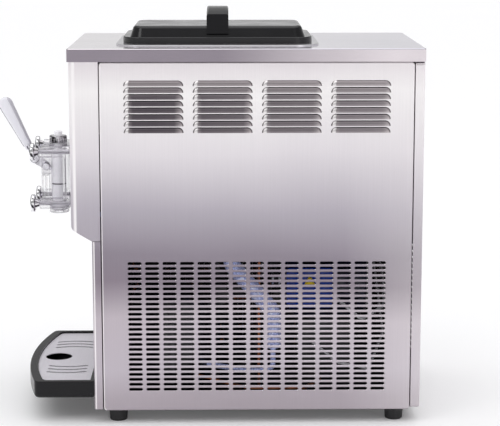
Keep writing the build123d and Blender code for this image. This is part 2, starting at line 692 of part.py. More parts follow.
with BuildPart() as freezing_barrel:
    with BuildSketch(across(UPPER_FACE)):
        with Locations((0, AXIS_Z)):
            RectangleRounded(FACE_PLATE, FACE_PLATE, 20)
    extrude(amount=UPPER_FACE - FACE_FRONT)
    fillet(freezing_barrel.faces().sort_by(Axis.Y)[0].edges(), 1)
    with BuildSketch(across(UPPER_FACE)):
        with Locations((0, AXIS_Z)):
            Circle(BARREL_OUTER)
    extrude(amount=-(BARREL_REAR + END_PLATE - UPPER_FACE))
    with BuildSketch(across(JACKET_FRONT)):
        with Locations((0, AXIS_Z)):
            Circle(JACKET_RADIUS)
    extrude(amount=-(JACKET_REAR - JACKET_FRONT))
    with BuildSketch(across(BARREL_REAR)):
        with Locations((0, AXIS_Z)):
            Circle(BEARING_BOSS)
    extrude(amount=-2 * END_PLATE)
    with BuildSketch(Plane.XY.offset(AXIS_Z)):
        with Locations((0, y_at(INLET_DEPTH))):
            Circle(INLET_RADIUS + BARREL_WALL)
    extrude(amount=HOPPER_FLOOR - SHEET - AXIS_Z)
    with BuildSketch(Plane.XY.offset(AXIS_Z)):
        with Locations(*[(0, y_at(depth)) for depth in STUB_DEPTHS]):
            Circle(STUB_RADIUS)
    extrude(amount=STUB_FOOT - AXIS_Z)
    with BuildSketch(across(JACKET_FRONT + JACKET_WALL)):
        with Locations((0, AXIS_Z)):
            Circle(JACKET_RADIUS - JACKET_WALL)
            Circle(BARREL_OUTER, mode=Mode.SUBTRACT)
    extrude(amount=-(JACKET_REAR - JACKET_FRONT - 2 * JACKET_WALL), mode=Mode.SUBTRACT)
    with BuildSketch(across(FACE_FRONT)):
        with Locations((0, AXIS_Z)):
            Circle(BARREL_RADIUS)
    extrude(amount=-(BARREL_REAR - FACE_FRONT), mode=Mode.SUBTRACT)
    with BuildSketch(across(BARREL_REAR)):
        with Locations((0, AXIS_Z)):
            Circle(SHAFT_RADIUS + RUNNING)
    extrude(amount=-2 * END_PLATE, mode=Mode.SUBTRACT)
    with BuildSketch(Plane.XY.offset(AXIS_Z)):
        with Locations((0, y_at(INLET_DEPTH))):
            Circle(INLET_RADIUS)
    extrude(amount=HOPPER_FLOOR - AXIS_Z, mode=Mode.SUBTRACT)
    with BuildSketch(Plane.XY.offset(AXIS_Z - BARREL_OUTER - JACKET_WALL)):
        with Locations(*[(0, y_at(depth)) for depth in STUB_DEPTHS]):
            Circle(STUB_BORE)
    extrude(amount=STUB_FOOT - AXIS_Z + BARREL_OUTER, mode=Mode.SUBTRACT)
freezing_barrel.part.label = "freezing_barrel"
export_step(freezing_barrel.part, "parts/freezing_barrel.step")

FOAM_INNER = 58.0
FOAM_OUTER = 76.0
FOAM_FRONT = 20.0
FOAM_REAR = 288.0

with BuildPart() as barrel_insulation:
    with BuildSketch(across(FOAM_FRONT)):
        with Locations((0, AXIS_Z)):
            Circle(FOAM_OUTER)
            Circle(FOAM_INNER, mode=Mode.SUBTRACT)
    extrude(amount=-(FOAM_REAR - FOAM_FRONT))
    with BuildSketch(Plane.XY.offset(AXIS_Z)):
        with Locations((0, y_at(INLET_DEPTH))):
            Circle(INLET_RADIUS + BARREL_WALL + 1)
    extrude(amount=2 * FOAM_OUTER, mode=Mode.SUBTRACT)
    with BuildSketch(Plane.XY.offset(AXIS_Z)):
        with Locations(*[(0, y_at(depth)) for depth in STUB_DEPTHS]):
            Circle(STUB_RADIUS + 1)
    extrude(amount=-2 * FOAM_OUTER, mode=Mode.SUBTRACT)
barrel_insulation.part.label = "barrel_insulation"
export_step(barrel_insulation.part, "parts/barrel_insulation.step")

STUD_SPOTS = [(x, AXIS_Z + z) for x in (-STUD_OFFSET, STUD_OFFSET) for z in (-STUD_OFFSET, STUD_OFFSET)]

with BuildPart() as head_studs:
    with BuildSketch(across(FACE_FRONT)):
        with Locations(*STUD_SPOTS):
            Circle(STUD_RADIUS)
    extrude(amount=FACE_FRONT - STUD_TIP)
    chamfer(head_studs.faces().filter_by(Axis.Y).group_by(Axis.Y)[0].edges(), 0.8)
head_studs.part.label = "head_studs"
export_step(head_studs.part, "parts/head_studs.step")

# ------------------------------------------------------------------ clear dispensing head
HEAD_BACK = -12.0
HEAD_FLANGE_FRONT = -24.0
HEAD_SEAT = FACE_FRONT - 0.1
HEAD_FLANGE = 122.0
HEAD_HUB = 46.5
PLUG_RADIUS = BARREL_RADIUS - 0.5
PLUG_END = 6.0
BOSS_RADIUS = 11.0
BOSS_FRONT = -70.0
BOSS_BORE = 4.5
SLEEVE_RADIUS = 7.5
BLOCK_HALF = 19.0
BLOCK_BOTTOM = 385.0
BLOCK_TOP = 507.0
BLOCK_FRONT = -54.0
NECK_RADIUS = 12.5
NECK_TOP = 519.0
SPOUT_RADIUS = 16.5
SPOUT_BOTTOM = 376.0
CHEEK_HALF = 14.0
CHEEK_BOTTOM = 398.0
CHEEK_TOP = 486.0
LEVER_HALF = 4.0
LEVER_SLOT = LEVER_HALF + 0.8
SLOT_LOW = PIVOT_Z - 15.5
SLOT_HIGH = PIVOT_Z + 18.0
WEB_THICK = 10.0
PASSAGE_Z = 402.0
PASSAGE_RADIUS = 8.0
SEAL_GROOVE = 45.0
SEAL_DEPTH = 1.5
SEAL_WIDTH = 3.0
BEATER_NOSE = 8.0
PEEP_DEPTHS = (-65.7, -58.3)
PEEP_Z = 424.0
PEEP_WIDTH = 5.2
PEEP_HEIGHT = 40.0
BORE_TOP = 500.0
HUB_STEP = 8.0

with BuildPart() as head_body:
    with BuildSketch(across(HEAD_BACK)):
        with Locations((0, AXIS_Z)):
            RectangleRounded(HEAD_FLANGE, HEAD_FLANGE, 16)
    extrude(amount=HEAD_BACK - HEAD_FLANGE_FRONT)
    with BuildSketch(across(HEAD_SEAT)):
        with Locations((0, AXIS_Z)):
            Circle(HEAD_HUB + HUB_STEP)
        with Locations(*STUD_SPOTS):
            Circle(SLEEVE_RADIUS)
    extrude(amount=HEAD_SEAT - HEAD_BACK)
    with BuildSketch(across(PLUG_END)):
        with Locations((0, AXIS_Z)):
            Circle(PLUG_RADIUS)
    extrude(amount=PLUG_END - HEAD_BACK)
    with BuildSketch(across(HEAD_FLANGE_FRONT)):
        with Locations(*STUD_SPOTS):
            Circle(BOSS_RADIUS)
        for web_z in (AXIS_Z - STUD_OFFSET, AXIS_Z + STUD_OFFSET):
            with Locations((0, web_z)):
                Rectangle(2 * STUD_OFFSET, WEB_THICK)
    extrude(amount=HEAD_FLANGE_FRONT - BOSS_FRONT)
    with BuildSketch(Plane.XY.offset(BLOCK_BOTTOM)):
        with Locations((0, y_at((BLOCK_FRONT + HEAD_FLANGE_FRONT) / 2))):
            RectangleRounded(2 * BLOCK_HALF, HEAD_FLANGE_FRONT - BLOCK_FRONT, 4)
        with Locations((0, y_at(HEAD_FLANGE_FRONT - 4))):
            Rectangle(2 * BLOCK_HALF, 8)
    extrude(amount=BLOCK_TOP - BLOCK_BOTTOM)
    with BuildSketch(Plane.XY.offset(CHEEK_BOTTOM)):
        with Locations((0, y_at((BOSS_FRONT + BLOCK_FRONT) / 2 + 1))):
            RectangleRounded(2 * CHEEK_HALF, BLOCK_FRONT - BOSS_FRONT + 2, 2)
    extrude(amount=CHEEK_TOP - CHEEK_BOTTOM)
    with BuildSketch(Plane.XY.offset(BLOCK_TOP)):
        with Locations((0, y_at(VALVE_DEPTH))):
            Circle(NECK_RADIUS)
    extrude(amount=NECK_TOP - BLOCK_TOP)
    with BuildSketch(Plane.XY.offset(BLOCK_BOTTOM)):
        with Locations((0, y_at(VALVE_DEPTH))):
            Circle(SPOUT_RADIUS)
    extrude(amount=SPOUT_BOTTOM - BLOCK_BOTTOM)
    # vertical bore for the piston, and the narrower guide for its peg above
    with BuildSketch(Plane.XY.offset(SPOUT_BOTTOM)):
        with Locations((0, y_at(VALVE_DEPTH))):
            Circle(VALVE_BORE)
    extrude(amount=BORE_TOP - SPOUT_BOTTOM, mode=Mode.SUBTRACT)
    with BuildSketch(Plane.XY.offset(PISTON_TOP)):
        with Locations((0, y_at(VALVE_DEPTH))):
            Circle(PEG_RADIUS + RUNNING)
    extrude(amount=NECK_TOP - PISTON_TOP, mode=Mode.SUBTRACT)
    # slot for the lever, and two see-through windows on each side of a rib below it
    with BuildSketch(sideways(-LEVER_SLOT)):
        with Locations((y_at((BOSS_FRONT + VALVE_DEPTH) / 2 - 1), (SLOT_LOW + SLOT_HIGH) / 2)):
            Rectangle(VALVE_DEPTH - BOSS_FRONT + 2, SLOT_HIGH - SLOT_LOW)
    extrude(amount=2 * LEVER_SLOT, mode=Mode.SUBTRACT)
    with BuildSketch(sideways(-CHEEK_HALF - 1)):
        with Locations(*[(y_at(depth), PEEP_Z) for depth in PEEP_DEPTHS]):
            Rectangle(PEEP_WIDTH, PEEP_HEIGHT)
    extrude(amount=2 * CHEEK_HALF + 2, mode=Mode.SUBTRACT)
    with BuildSketch(sideways(-CHEEK_HALF - 1)):
        with Locations((y_at(PIVOT_DEPTH), PIVOT_Z)):
            Circle(PIVOT_RADIUS)
    extrude(amount=2 * CHEEK_HALF + 2, mode=Mode.SUBTRACT)
    # product passage, seal groove and the blind bearing for the beater's nose
    with BuildSketch(across(PLUG_END)):
        with Locations((0, PASSAGE_Z)):
            Circle(PASSAGE_RADIUS - 1)
    extrude(amount=PLUG_END - VALVE_DEPTH, mode=Mode.SUBTRACT)
    with BuildSketch(across(SEAL_DEPTH + SEAL_WIDTH)):
        with Locations((0, AXIS_Z)):
            Circle(PLUG_RADIUS + 1)
            Circle(SEAL_GROOVE, mode=Mode.SUBTRACT)
    extrude(amount=SEAL_WIDTH, mode=Mode.SUBTRACT)
    with BuildSketch(across(PLUG_END)):
        with Locations((0, AXIS_Z)):
            Circle(BEATER_NOSE + RUNNING)
    extrude(amount=PLUG_END - HEAD_BACK, mode=Mode.SUBTRACT)
    with BuildSketch(across(PLUG_END)):
        with Locations(*STUD_SPOTS):
            Circle(BOSS_BORE)
    extrude(amount=PLUG_END - BOSS_FRONT + 1, mode=Mode.SUBTRACT)
head_body.part.label = "head_body"
export_step(head_body.part, "parts/head_body.step")

with BuildPart() as head_seal:
    with BuildSketch(across(SEAL_DEPTH + SEAL_WIDTH)):
        with Locations((0, AXIS_Z)):
            Circle(BARREL_RADIUS - 0.1)
            Circle(SEAL_GROOVE, mode=Mode.SUBTRACT)
    extrude(amount=SEAL_WIDTH)
    fillet(head_seal.edges().filter_by(GeomType.CIRCLE).group_by(SortBy.RADIUS)[-1], 0.9)
head_seal.part.label = "head_seal"
export_step(head_seal.part, "parts/head_seal.step")

PIN_HEAD_RADIUS = 7.0
PIN_HEAD = 2.5
PIN_GROOVE = (3.4, 4.4)
PIN_GROOVE_DEPTH = 0.7

with BuildPart() as pivot_pin:
    with BuildSketch(sideways(-CHEEK_HALF - 0.5)):
        with Locations((y_at(PIVOT_DEPTH), PIVOT_Z)):
            Circle(PIVOT_RADIUS)
    extrude(amount=2 * CHEEK_HALF + 1)
    with BuildSketch(sideways(CHEEK_HALF)):
        with Locations((y_at(PIVOT_DEPTH), PIVOT_Z)):
            Circle(PIN_HEAD_RADIUS)
    extrude(amount=PIN_HEAD)
    fillet(pivot_pin.faces().sort_by(Axis.X)[-1].edges(), 1)
    with BuildSketch(sideways(CHEEK_HALF + PIN_HEAD - PIN_GROOVE_DEPTH)):
        with Locations((y_at(PIVOT_DEPTH), PIVOT_Z)):
            Circle(PIN_GROOVE[1])
            Circle(PIN_GROOVE[0], mode=Mode.SUBTRACT)
    extrude(amount=2 * PIN_GROOVE_DEPTH, mode=Mode.SUBTRACT)
pivot_pin.part.label = "pivot_pin"
export_step(pivot_pin.part, "parts/pivot_pin.step")

CAP_RADIUS = 17.0
CAP_BOTTOM = 508.0
CAP_TOP = 522.0
CAP_FLUTES = 18
FLUTE_RADIUS = 1.5
FLUTE_LENGTH = 9.0

with BuildPart() as neck_nut:
    with BuildSketch(Plane.XY.offset(CAP_BOTTOM)):
        with Locations((0, y_at(VALVE_DEPTH))):
            Circle(CAP_RADIUS)
    extrude(amount=CAP_TOP - CAP_BOTTOM)
    fillet(neck_nut.faces().sort_by(Axis.Z)[-1].edges(), 2.5)
    with BuildSketch(Plane.XY.offset(CAP_BOTTOM)):
        with Locations((0, y_at(VALVE_DEPTH))):
            with PolarLocations(CAP_RADIUS + 0.7, CAP_FLUTES):
                Circle(FLUTE_RADIUS)
    extrude(amount=FLUTE_LENGTH, mode=Mode.SUBTRACT)
    with BuildSketch(Plane.XY.offset(CAP_BOTTOM)):
        with Locations((0, y_at(VALVE_DEPTH))):
            Circle(NECK_RADIUS)
    extrude(amount=NECK_TOP - CAP_BOTTOM, mode=Mode.SUBTRACT)
    with BuildSketch(Plane.XY.offset(CAP_BOTTOM)):
        with Locations((0, y_at(VALVE_DEPTH))):
            Circle(PEG_RADIUS + GAP)
    extrude(amount=CAP_TOP - CAP_BOTTOM, mode=Mode.SUBTRACT)
neck_nut.part.label = "neck_nut"
export_step(neck_nut.part, "parts/neck_nut.step")

# ------------------------------------------------------------------ piston and its seals
SEAL_HEIGHTS = (392.5, 427.0)
GROOVE_HALF = 1.5
GROOVE_RADIUS = 12.5
FINGER_DEPTH = PIVOT_DEPTH + FINGER_REACH * math.cos(math.radians(FINGER_DROP))
FINGER_Z = PIVOT_Z - FINGER_REACH * math.sin(math.radians(FINGER_DROP))
WINDOW_HALF = FINGER_RADIUS + 0.6
WINDOW_FLARE = 12.5
FLARE_START = FINGER_DEPTH + 2.5
WINDOW_END = FINGER_DEPTH + FINGER_RADIUS + 3.0

with BuildPart() as piston:
    with BuildSketch(Plane.XY.offset(PISTON_BOTTOM)):
        with Locations((0, y_at(VALVE_DEPTH))):
            Circle(PISTON_RADIUS)
    extrude(amount=PISTON_TOP - PISTON_BOTTOM)
    chamfer(piston.faces().sort_by(Axis.Z)[0].edges(), 1)
    with BuildSketch(Plane.XY.offset(PISTON_TOP)):
        with Locations((0, y_at(VALVE_DEPTH))):
            Circle(PEG_RADIUS)
    extrude(amount=PEG_TOP - PISTON_TOP)
    fillet(piston.faces().sort_by(Axis.Z)[-1].edges(), 1.2)
    with BuildSketch(sideways(-LEVER_SLOT)):
        with BuildLine():
            Polyline(
                (y_at(WINDOW_END), FINGER_Z - WINDOW_HALF),
                (y_at(FLARE_START), FINGER_Z - WINDOW_HALF),
                (y_at(VALVE_DEPTH - PISTON_RADIUS - 1), FINGER_Z - WINDOW_FLARE),
                (y_at(VALVE_DEPTH - PISTON_RADIUS - 1), FINGER_Z + WINDOW_FLARE),
                (y_at(FLARE_START), FINGER_Z + WINDOW_HALF),
                (y_at(WINDOW_END), FINGER_Z + WINDOW_HALF),
                close=True,
            )
        make_face()
    extrude(amount=2 * LEVER_SLOT, mode=Mode.SUBTRACT)
    for seal_z in SEAL_HEIGHTS:
        with BuildSketch(Plane.XY.offset(seal_z - GROOVE_HALF)):
            with Locations((0, y_at(VALVE_DEPTH))):
                Circle(PISTON_RADIUS + 1)
                Circle(GROOVE_RADIUS, mode=Mode.SUBTRACT)
        extrude(amount=2 * GROOVE_HALF, mode=Mode.SUBTRACT)
piston.part.label = "piston"
export_step(piston.part, "parts/piston.step")

with BuildPart() as piston_seals:
    for seal_z in SEAL_HEIGHTS:
        with BuildSketch(Plane.XY.offset(seal_z - GROOVE_HALF)):
            with Locations((0, y_at(VALVE_DEPTH))):
                Circle(PISTON_RADIUS + 0.02)
                Circle(GROOVE_RADIUS, mode=Mode.SUBTRACT)
        extrude(amount=2 * GROOVE_HALF)
piston_seals.part.label = "piston_seals"
export_step(piston_seals.part, "parts/piston_seals.step")

# ------------------------------------------------------------------ lever with its grip
ELBOW_DEPTH = -83.5
ELBOW_Z = 476.5
ELBOW_RADIUS = 9.0
PIVOT_BOSS = 7.5
ROD_RADIUS = 5.0
GRIP_BOTTOM = 28.0
GRIP_LENGTH = 91.0
GRIP_HALF_BOTTOM = 8.5
GRIP_HALF_TOP = 13.85
GRIP_HALF_WIDTH = 8.5
ROD_IN_GRIP = 34.0
COLLAR_LENGTH = 6.0
COLLAR_STEP = 2.2
ELBOW_SCREW = 4.5
ELBOW_SCREW_PROUD = 2.5
ELBOW_KEY = 2.4
GRIP_ROUND = 4.0
lean = math.radians(GRIP_LEAN)
grip_plane = Plane(
    origin=(0, y_at(ELBOW_DEPTH), ELBOW_Z),
    x_dir=(0, math.cos(lean), math.sin(lean)),
    z_dir=(1, 0, 0),
)
rod_plane = Plane(
    origin=(0, y_at(ELBOW_DEPTH), ELBOW_Z),
    x_dir=(1, 0, 0),
    z_dir=(0, -math.sin(lean), math.cos(lean)),
)

with BuildPart() as lever_arm:
    with BuildSketch(sideways(-LEVER_HALF)):
        with BuildLine():
            CenterArc((y_at(ELBOW_DEPTH), ELBOW_Z), ELBOW_RADIUS, 0, 360)
            CenterArc((y_at(PIVOT_DEPTH), PIVOT_Z), PIVOT_BOSS, 0, 360)
        make_hull()
    extrude(amount=2 * LEVER_HALF)
    with BuildSketch(sideways(-LEVER_HALF)):
        with BuildLine():
            CenterArc((y_at(PIVOT_DEPTH), PIVOT_Z), FINGER_RADIUS - 0.5, 0, 360)
            CenterArc((y_at(FINGER_DEPTH), FINGER_Z), FINGER_RADIUS, 0, 360)
        make_hull()
    extrude(amount=2 * LEVER_HALF)
    with BuildSketch(sideways(-ELBOW_RADIUS)):
        with Locations((y_at(ELBOW_DEPTH), ELBOW_Z)):
            Circle(ELBOW_RADIUS)
    extrude(amount=2 * ELBOW_RADIUS)
    fillet(lever_arm.faces().filter_by(Axis.X).group_by(Axis.X)[0].edges(), 1.5)
    fillet(lever_arm.faces().filter_by(Axis.X).group_by(Axis.X)[-1].edges(), 1.5)
    with BuildSketch(sideways(ELBOW_RADIUS)):
        with Locations((y_at(ELBOW_DEPTH), ELBOW_Z)):
            Circle(ELBOW_SCREW)
            RegularPolygon(ELBOW_KEY, 6, mode=Mode.SUBTRACT)
    extrude(amount=ELBOW_SCREW_PROUD)
    with BuildSketch(rod_plane):
        Circle(ROD_RADIUS)
    extrude(amount=GRIP_BOTTOM + ROD_IN_GRIP)
    with BuildSketch(rod_plane.offset(GRIP_BOTTOM - COLLAR_LENGTH)):
        Circle(ROD_RADIUS + COLLAR_STEP)
    extrude(amount=COLLAR_LENGTH)
    with BuildSketch(sideways(-LEVER_HALF - 1)):
        with Locations((y_at(PIVOT_DEPTH), PIVOT_Z)):
            Circle(PIVOT_RADIUS + RUNNING)
    extrude(amount=2 * LEVER_HALF + 2, mode=Mode.SUBTRACT)
lever_arm.part.label = "lever_arm"
export_step(lever_arm.part, "parts/lever_arm.step")

with BuildPart() as lever_grip:
    with BuildSketch(grip_plane):
        with BuildLine():
            Polyline(
                (-GRIP_HALF_TOP, GRIP_BOTTOM + GRIP_LENGTH),
                (-GRIP_HALF_BOTTOM, GRIP_BOTTOM),
                (GRIP_HALF_BOTTOM, GRIP_BOTTOM),
                (GRIP_HALF_TOP, GRIP_BOTTOM + GRIP_LENGTH),
            )
            ThreePointArc(
                (-GRIP_HALF_TOP, GRIP_BOTTOM + GRIP_LENGTH),
                (0, GRIP_BOTTOM + GRIP_LENGTH + GRIP_HALF_TOP),
                (GRIP_HALF_TOP, GRIP_BOTTOM + GRIP_LENGTH),
            )
        make_face()
    extrude(amount=GRIP_HALF_WIDTH, both=True)
    fillet(lever_grip.faces().filter_by(Axis.X).group_by(Axis.X)[0].edges(), GRIP_ROUND)
    fillet(lever_grip.faces().filter_by(Axis.X).group_by(Axis.X)[-1].edges(), GRIP_ROUND)
    with BuildSketch(rod_plane.offset(GRIP_BOTTOM)):
        Circle(ROD_RADIUS)
    extrude(amount=ROD_IN_GRIP, mode=Mode.SUBTRACT)
lever_grip.part.label = "lever_grip"
export_step(lever_grip.part, "parts/lever_grip.step")

# ------------------------------------------------------------------ thumb nuts and spout cap
NUT_RADIUS = 17.0
NUT_FRONT = -87.0
NUT_DISC = 9.0
NUT_BACK = -70.5
HUB_FRONT_RADIUS = 9.5
HUB_BACK_RADIUS = 6.5
NUT_ROUND = 3.0


def thumb_nut(x, z):
    """A polished hand nut: a domed disc in front of a conical hub with a blind threaded bore."""
    with BuildPart() as nut:
        with BuildSketch(across(NUT_BACK)):
            with Locations((x, z)):
                Circle(HUB_BACK_RADIUS)
        with BuildSketch(across(NUT_FRONT + NUT_DISC)):
            with Locations((x, z)):
                Circle(HUB_FRONT_RADIUS)
        loft()
        with BuildSketch(across(NUT_FRONT + NUT_DISC)):
            with Locations((x, z)):
                Circle(NUT_RADIUS)
        extrude(amount=NUT_DISC)
        rims = nut.edges().filter_by(GeomType.CIRCLE).filter_by(lambda e: e.radius > NUT_RADIUS - 1)
        fillet(rims, NUT_ROUND)
        with BuildSketch(across(NUT_BACK)):
            with Locations((x, z)):
                Circle(STUD_RADIUS + RUNNING)
        extrude(amount=NUT_BACK - STUD_TIP + 1, mode=Mode.SUBTRACT)
    return nut.part


for nut_number, (nut_x, nut_z) in enumerate(STUD_SPOTS, start=1):
    nut_name = f"thumb_nut_{nut_number}"
    nut_part = thumb_nut(nut_x, nut_z)
    nut_part.label = nut_name
    export_step(nut_part, f"parts/{nut_name}.step")

SPOUT_CAP_RADIUS = 19.0
SPOUT_CAP_BOTTOM = 370.0
SPOUT_CAP_TOP = 383.0
STAR_POINTS = 6
STAR_OUTER = 10.0
STAR_INNER = 6.0

with BuildPart() as spout_cap:
    with BuildSketch(Plane.XY.offset(SPOUT_CAP_BOTTOM)):
        with Locations((0, y_at(VALVE_DEPTH))):
            Circle(SPOUT_CAP_RADIUS)
    extrude(amount=SPOUT_CAP_TOP - SPOUT_CAP_BOTTOM)
    fillet(spout_cap.faces().sort_by(Axis.Z)[0].edges(), 2)
    with BuildSketch(Plane.XY.offset(SPOUT_CAP_TOP)):
        with Locations((0, y_at(VALVE_DEPTH))):
            Circle(SPOUT_RADIUS + RUNNING)
    extrude(amount=SPOUT_BOTTOM - 0.3 - SPOUT_CAP_TOP, mode=Mode.SUBTRACT)
    star_points = []
    for point in range(2 * STAR_POINTS):
        reach = STAR_OUTER if point % 2 == 0 else STAR_INNER
        turn = math.pi * point / STAR_POINTS
        star_points.append((reach * math.cos(turn), y_at(VALVE_DEPTH) + reach * math.sin(turn)))
    with BuildSketch(Plane.XY.offset(SPOUT_CAP_BOTTOM)):
        with BuildLine():
            Polyline(*star_points, close=True)
        make_face()
    extrude(amount=SPOUT_CAP_TOP - SPOUT_CAP_BOTTOM, mode=Mode.SUBTRACT)
spout_cap.part.label = "spout_cap"
export_step(spout_cap.part, "parts/spout_cap.step")

# ------------------------------------------------------------------ beater and its gear drive
BEATER_FRONT = 10.0
BEATER_REAR = 286.0
BLADE_OUTER = 47.4
BLADE_INNER = 39.0
BLADE_THICK = 4.0
BLADE_TWIST = 360.0
SPINDLE_RADIUS = 9.0
ARM_RADIUS = 3.0
ARM_STATIONS = 5
BLADE_SPAN = BEATER_REAR - BEATER_FRONT
SHAFT_END = 352.0
NOSE_REACH = 6.0
NOSE_OVERLAP = 2.0

blade_faces = []
for turn in (0, 180):
    blade_sketch = Plane(origin=(0, y_at(BEATER_FRONT), AXIS_Z), x_dir=(1, 0, 0), z_dir=(0, 1, 0)) * (
        Rot(0, 0, turn) * Pos((BLADE_OUTER + BLADE_INNER) / 2, 0)
        * Rectangle(BLADE_OUTER - BLADE_INNER, BLADE_THICK)
    )
    blade_faces.append(blade_sketch.faces()[0])
beater_blades = [
    Solid.extrude_linear_with_rotation(
        face, (0, y_at(BEATER_FRONT), AXIS_Z), (0, BLADE_SPAN, 0), BLADE_TWIST)
    for face in blade_faces
]

with BuildPart() as beater:
    with BuildSketch(across(BEATER_FRONT - NOSE_REACH)):
        with Locations((0, AXIS_Z)):
            Circle(BEATER_NOSE)
    extrude(amount=-(NOSE_REACH + NOSE_OVERLAP))
    with BuildSketch(across(BEATER_FRONT)):
        with Locations((0, AXIS_Z)):
            Circle(SPINDLE_RADIUS)
    extrude(amount=-BLADE_SPAN)
    with BuildSketch(across(BEATER_REAR)):
        with Locations((0, AXIS_Z)):
            Circle(SHAFT_RADIUS)
    extrude(amount=-(BARREL_REAR + 2 * END_PLATE - BEATER_REAR))
    for station in range(ARM_STATIONS):
        share = (station + 0.5) / ARM_STATIONS
        arm_depth = BEATER_FRONT + share * BLADE_SPAN
        arm_turn = math.radians(share * BLADE_TWIST)
        arm_plane = Plane(
            origin=(0, y_at(arm_depth), AXIS_Z),
            x_dir=(0, 1, 0),
            z_dir=(math.cos(arm_turn), 0, -math.sin(arm_turn)),
        )
        with BuildSketch(arm_plane):
            Circle(ARM_RADIUS)
        extrude(amount=(BLADE_OUTER + BLADE_INNER) / 2, both=True)
    for blade in beater_blades:
        add(blade)
beater.part.label = "beater"
export_step(beater.part, "parts/beater.step")

GEAR_FRONT = 318.0
GEAR_WIDTH = 16.0
PRESSURE = math.radians(20)
FLANK_POINTS = 5
BACKLASH = 0.12
WEB_HOLE_CIRCLE = 28.0
WEB_HOLE = 8.0
WEB_HOLES = 6


def tooth_outline(teeth, turn, centre_z):
    """Corner points of one whole gear with its axis at centre_z, as a list going round it."""
    pitch = GEAR_MODULE * teeth / 2
    base = pitch * math.cos(PRESSURE)
    tip = pitch + GEAR_MODULE - 0.1
    root = pitch - 1.25 * GEAR_MODULE
    start = max(base, root)
    half = math.pi / (2 * teeth) - BACKLASH / (2 * pitch) + math.tan(PRESSURE) - PRESSURE
    flank = []
    for step in range(FLANK_POINTS):
        radius = start + (tip - start) * step / (FLANK_POINTS - 1)
        roll = math.acos(min(1.0, base / radius))
        flank.append((radius, half - (math.tan(roll) - roll)))
    points = []
    for tooth in range(teeth):
        middle = turn + 2 * math.pi * tooth / teeth
        side = [(root, half)] if root < base else []
        for radius, angle in side + flank:
            points.append((radius * math.cos(middle - angle), centre_z + radius * math.sin(middle - angle)))
        for radius, angle in reversed(side + flank):
            points.append((radius * math.cos(middle + angle), centre_z + radius * math.sin(middle + angle)))
    return points


with BuildPart() as output_gear:
    with BuildSketch(across(GEAR_FRONT)):
        with BuildLine():
            Polyline(*tooth_outline(WHEEL_TEETH, -math.pi / 2, AXIS_Z), close=True)
        make_face()
    extrude(amount=-GEAR_WIDTH)
    with BuildSketch(across(GEAR_FRONT)):
        with Locations((0, AXIS_Z)):
            with PolarLocations(WEB_HOLE_CIRCLE, WEB_HOLES):
                Circle(WEB_HOLE)
    extrude(amount=-GEAR_WIDTH, mode=Mode.SUBTRACT)
    with BuildSketch(across(BARREL_REAR + 2 * END_PLATE)):
        with Locations((0, AXIS_Z)):
            Circle(SHAFT_RADIUS)
    extrude(amount=-(SHAFT_END - BARREL_REAR - 2 * END_PLATE))
output_gear.part.label = "output_gear"
export_step(output_gear.part, "parts/output_gear.step")

PINION_SHAFT = 7.0
PINION_FRONT = 310.0
PINION_REAR = 398.0

with BuildPart() as pinion_shaft:
    with BuildSketch(across(GEAR_FRONT)):
        with BuildLine():
            Polyline(*tooth_outline(PINION_TEETH, math.pi / 2 + math.pi / PINION_TEETH, PINION_Z),
                     close=True)
        make_face()
    extrude(amount=-GEAR_WIDTH)
    with BuildSketch(across(PINION_FRONT)):
        with Locations((0, PINION_Z)):
            Circle(PINION_SHAFT)
    extrude(amount=-(PINION_REAR - PINION_FRONT))
pinion_shaft.part.label = "pinion_shaft"
export_step(pinion_shaft.part, "parts/pinion_shaft.step")

HOUSING_FRONT = 304.5
HOUSING_REAR = 344.0
COVER_REAR = 358.0
HOUSING_WALL = 5.0
WHEEL_ROOM = 49.0
PINION_ROOM = 16.0


def gear_case(front, rear, wheel_radius, pinion_radius):
    """A two-lobed block round both gear axes."""
    with BuildPart() as block:
        with BuildSketch(across(front)):
            with BuildLine():
                CenterArc((0, AXIS_Z), wheel_radius, 0, 360)
                CenterArc((0, PINION_Z), pinion_radius, 0, 360)
            make_hull()
        extrude(amount=front - rear)
    return block.part


with BuildPart() as gearbox_housing:
    add(gear_case(HOUSING_FRONT, HOUSING_REAR, WHEEL_ROOM + HOUSING_WALL, PINION_ROOM + HOUSING_WALL))
    add(gear_case(HOUSING_FRONT + HOUSING_WALL, HOUSING_REAR, WHEEL_ROOM, PINION_ROOM), mode=Mode.SUBTRACT)
    with BuildSketch(across(HOUSING_FRONT)):
        with Locations((0, AXIS_Z)):
            Circle(SHAFT_RADIUS + RUNNING)
    extrude(amount=-HOUSING_WALL, mode=Mode.SUBTRACT)
gearbox_housing.part.label = "gearbox_housing"
export_step(gearbox_housing.part, "parts/gearbox_housing.step")

with BuildPart() as gearbox_cover:
    add(gear_case(HOUSING_REAR, HOUSING_REAR + HOUSING_WALL, WHEEL_ROOM + HOUSING_WALL,
                  PINION_ROOM + HOUSING_WALL))
    with BuildSketch(across(HOUSING_REAR + HOUSING_WALL)):
        with Locations((0, AXIS_Z)):
            Circle(SHAFT_RADIUS + HOUSING_WALL)
        with Locations((0, PINION_Z)):
            Circle(PINION_SHAFT + HOUSING_WALL)
    extrude(amount=-(COVER_REAR - HOUSING_REAR - HOUSING_WALL))
    with BuildSketch(across(HOUSING_REAR)):
        with Locations((0, AXIS_Z)):
            Circle(SHAFT_RADIUS + RUNNING)
    extrude(amount=-(SHAFT_END - HOUSING_REAR + 0.5), mode=Mode.SUBTRACT)
    with BuildSketch(across(HOUSING_REAR)):
        with Locations((0, PINION_Z)):
            Circle(PINION_SHAFT + RUNNING)
    extrude(amount=-(COVER_REAR - HOUSING_REAR), mode=Mode.SUBTRACT)
gearbox_cover.part.label = "gearbox_cover"
export_step(gearbox_cover.part, "parts/gearbox_cover.step")

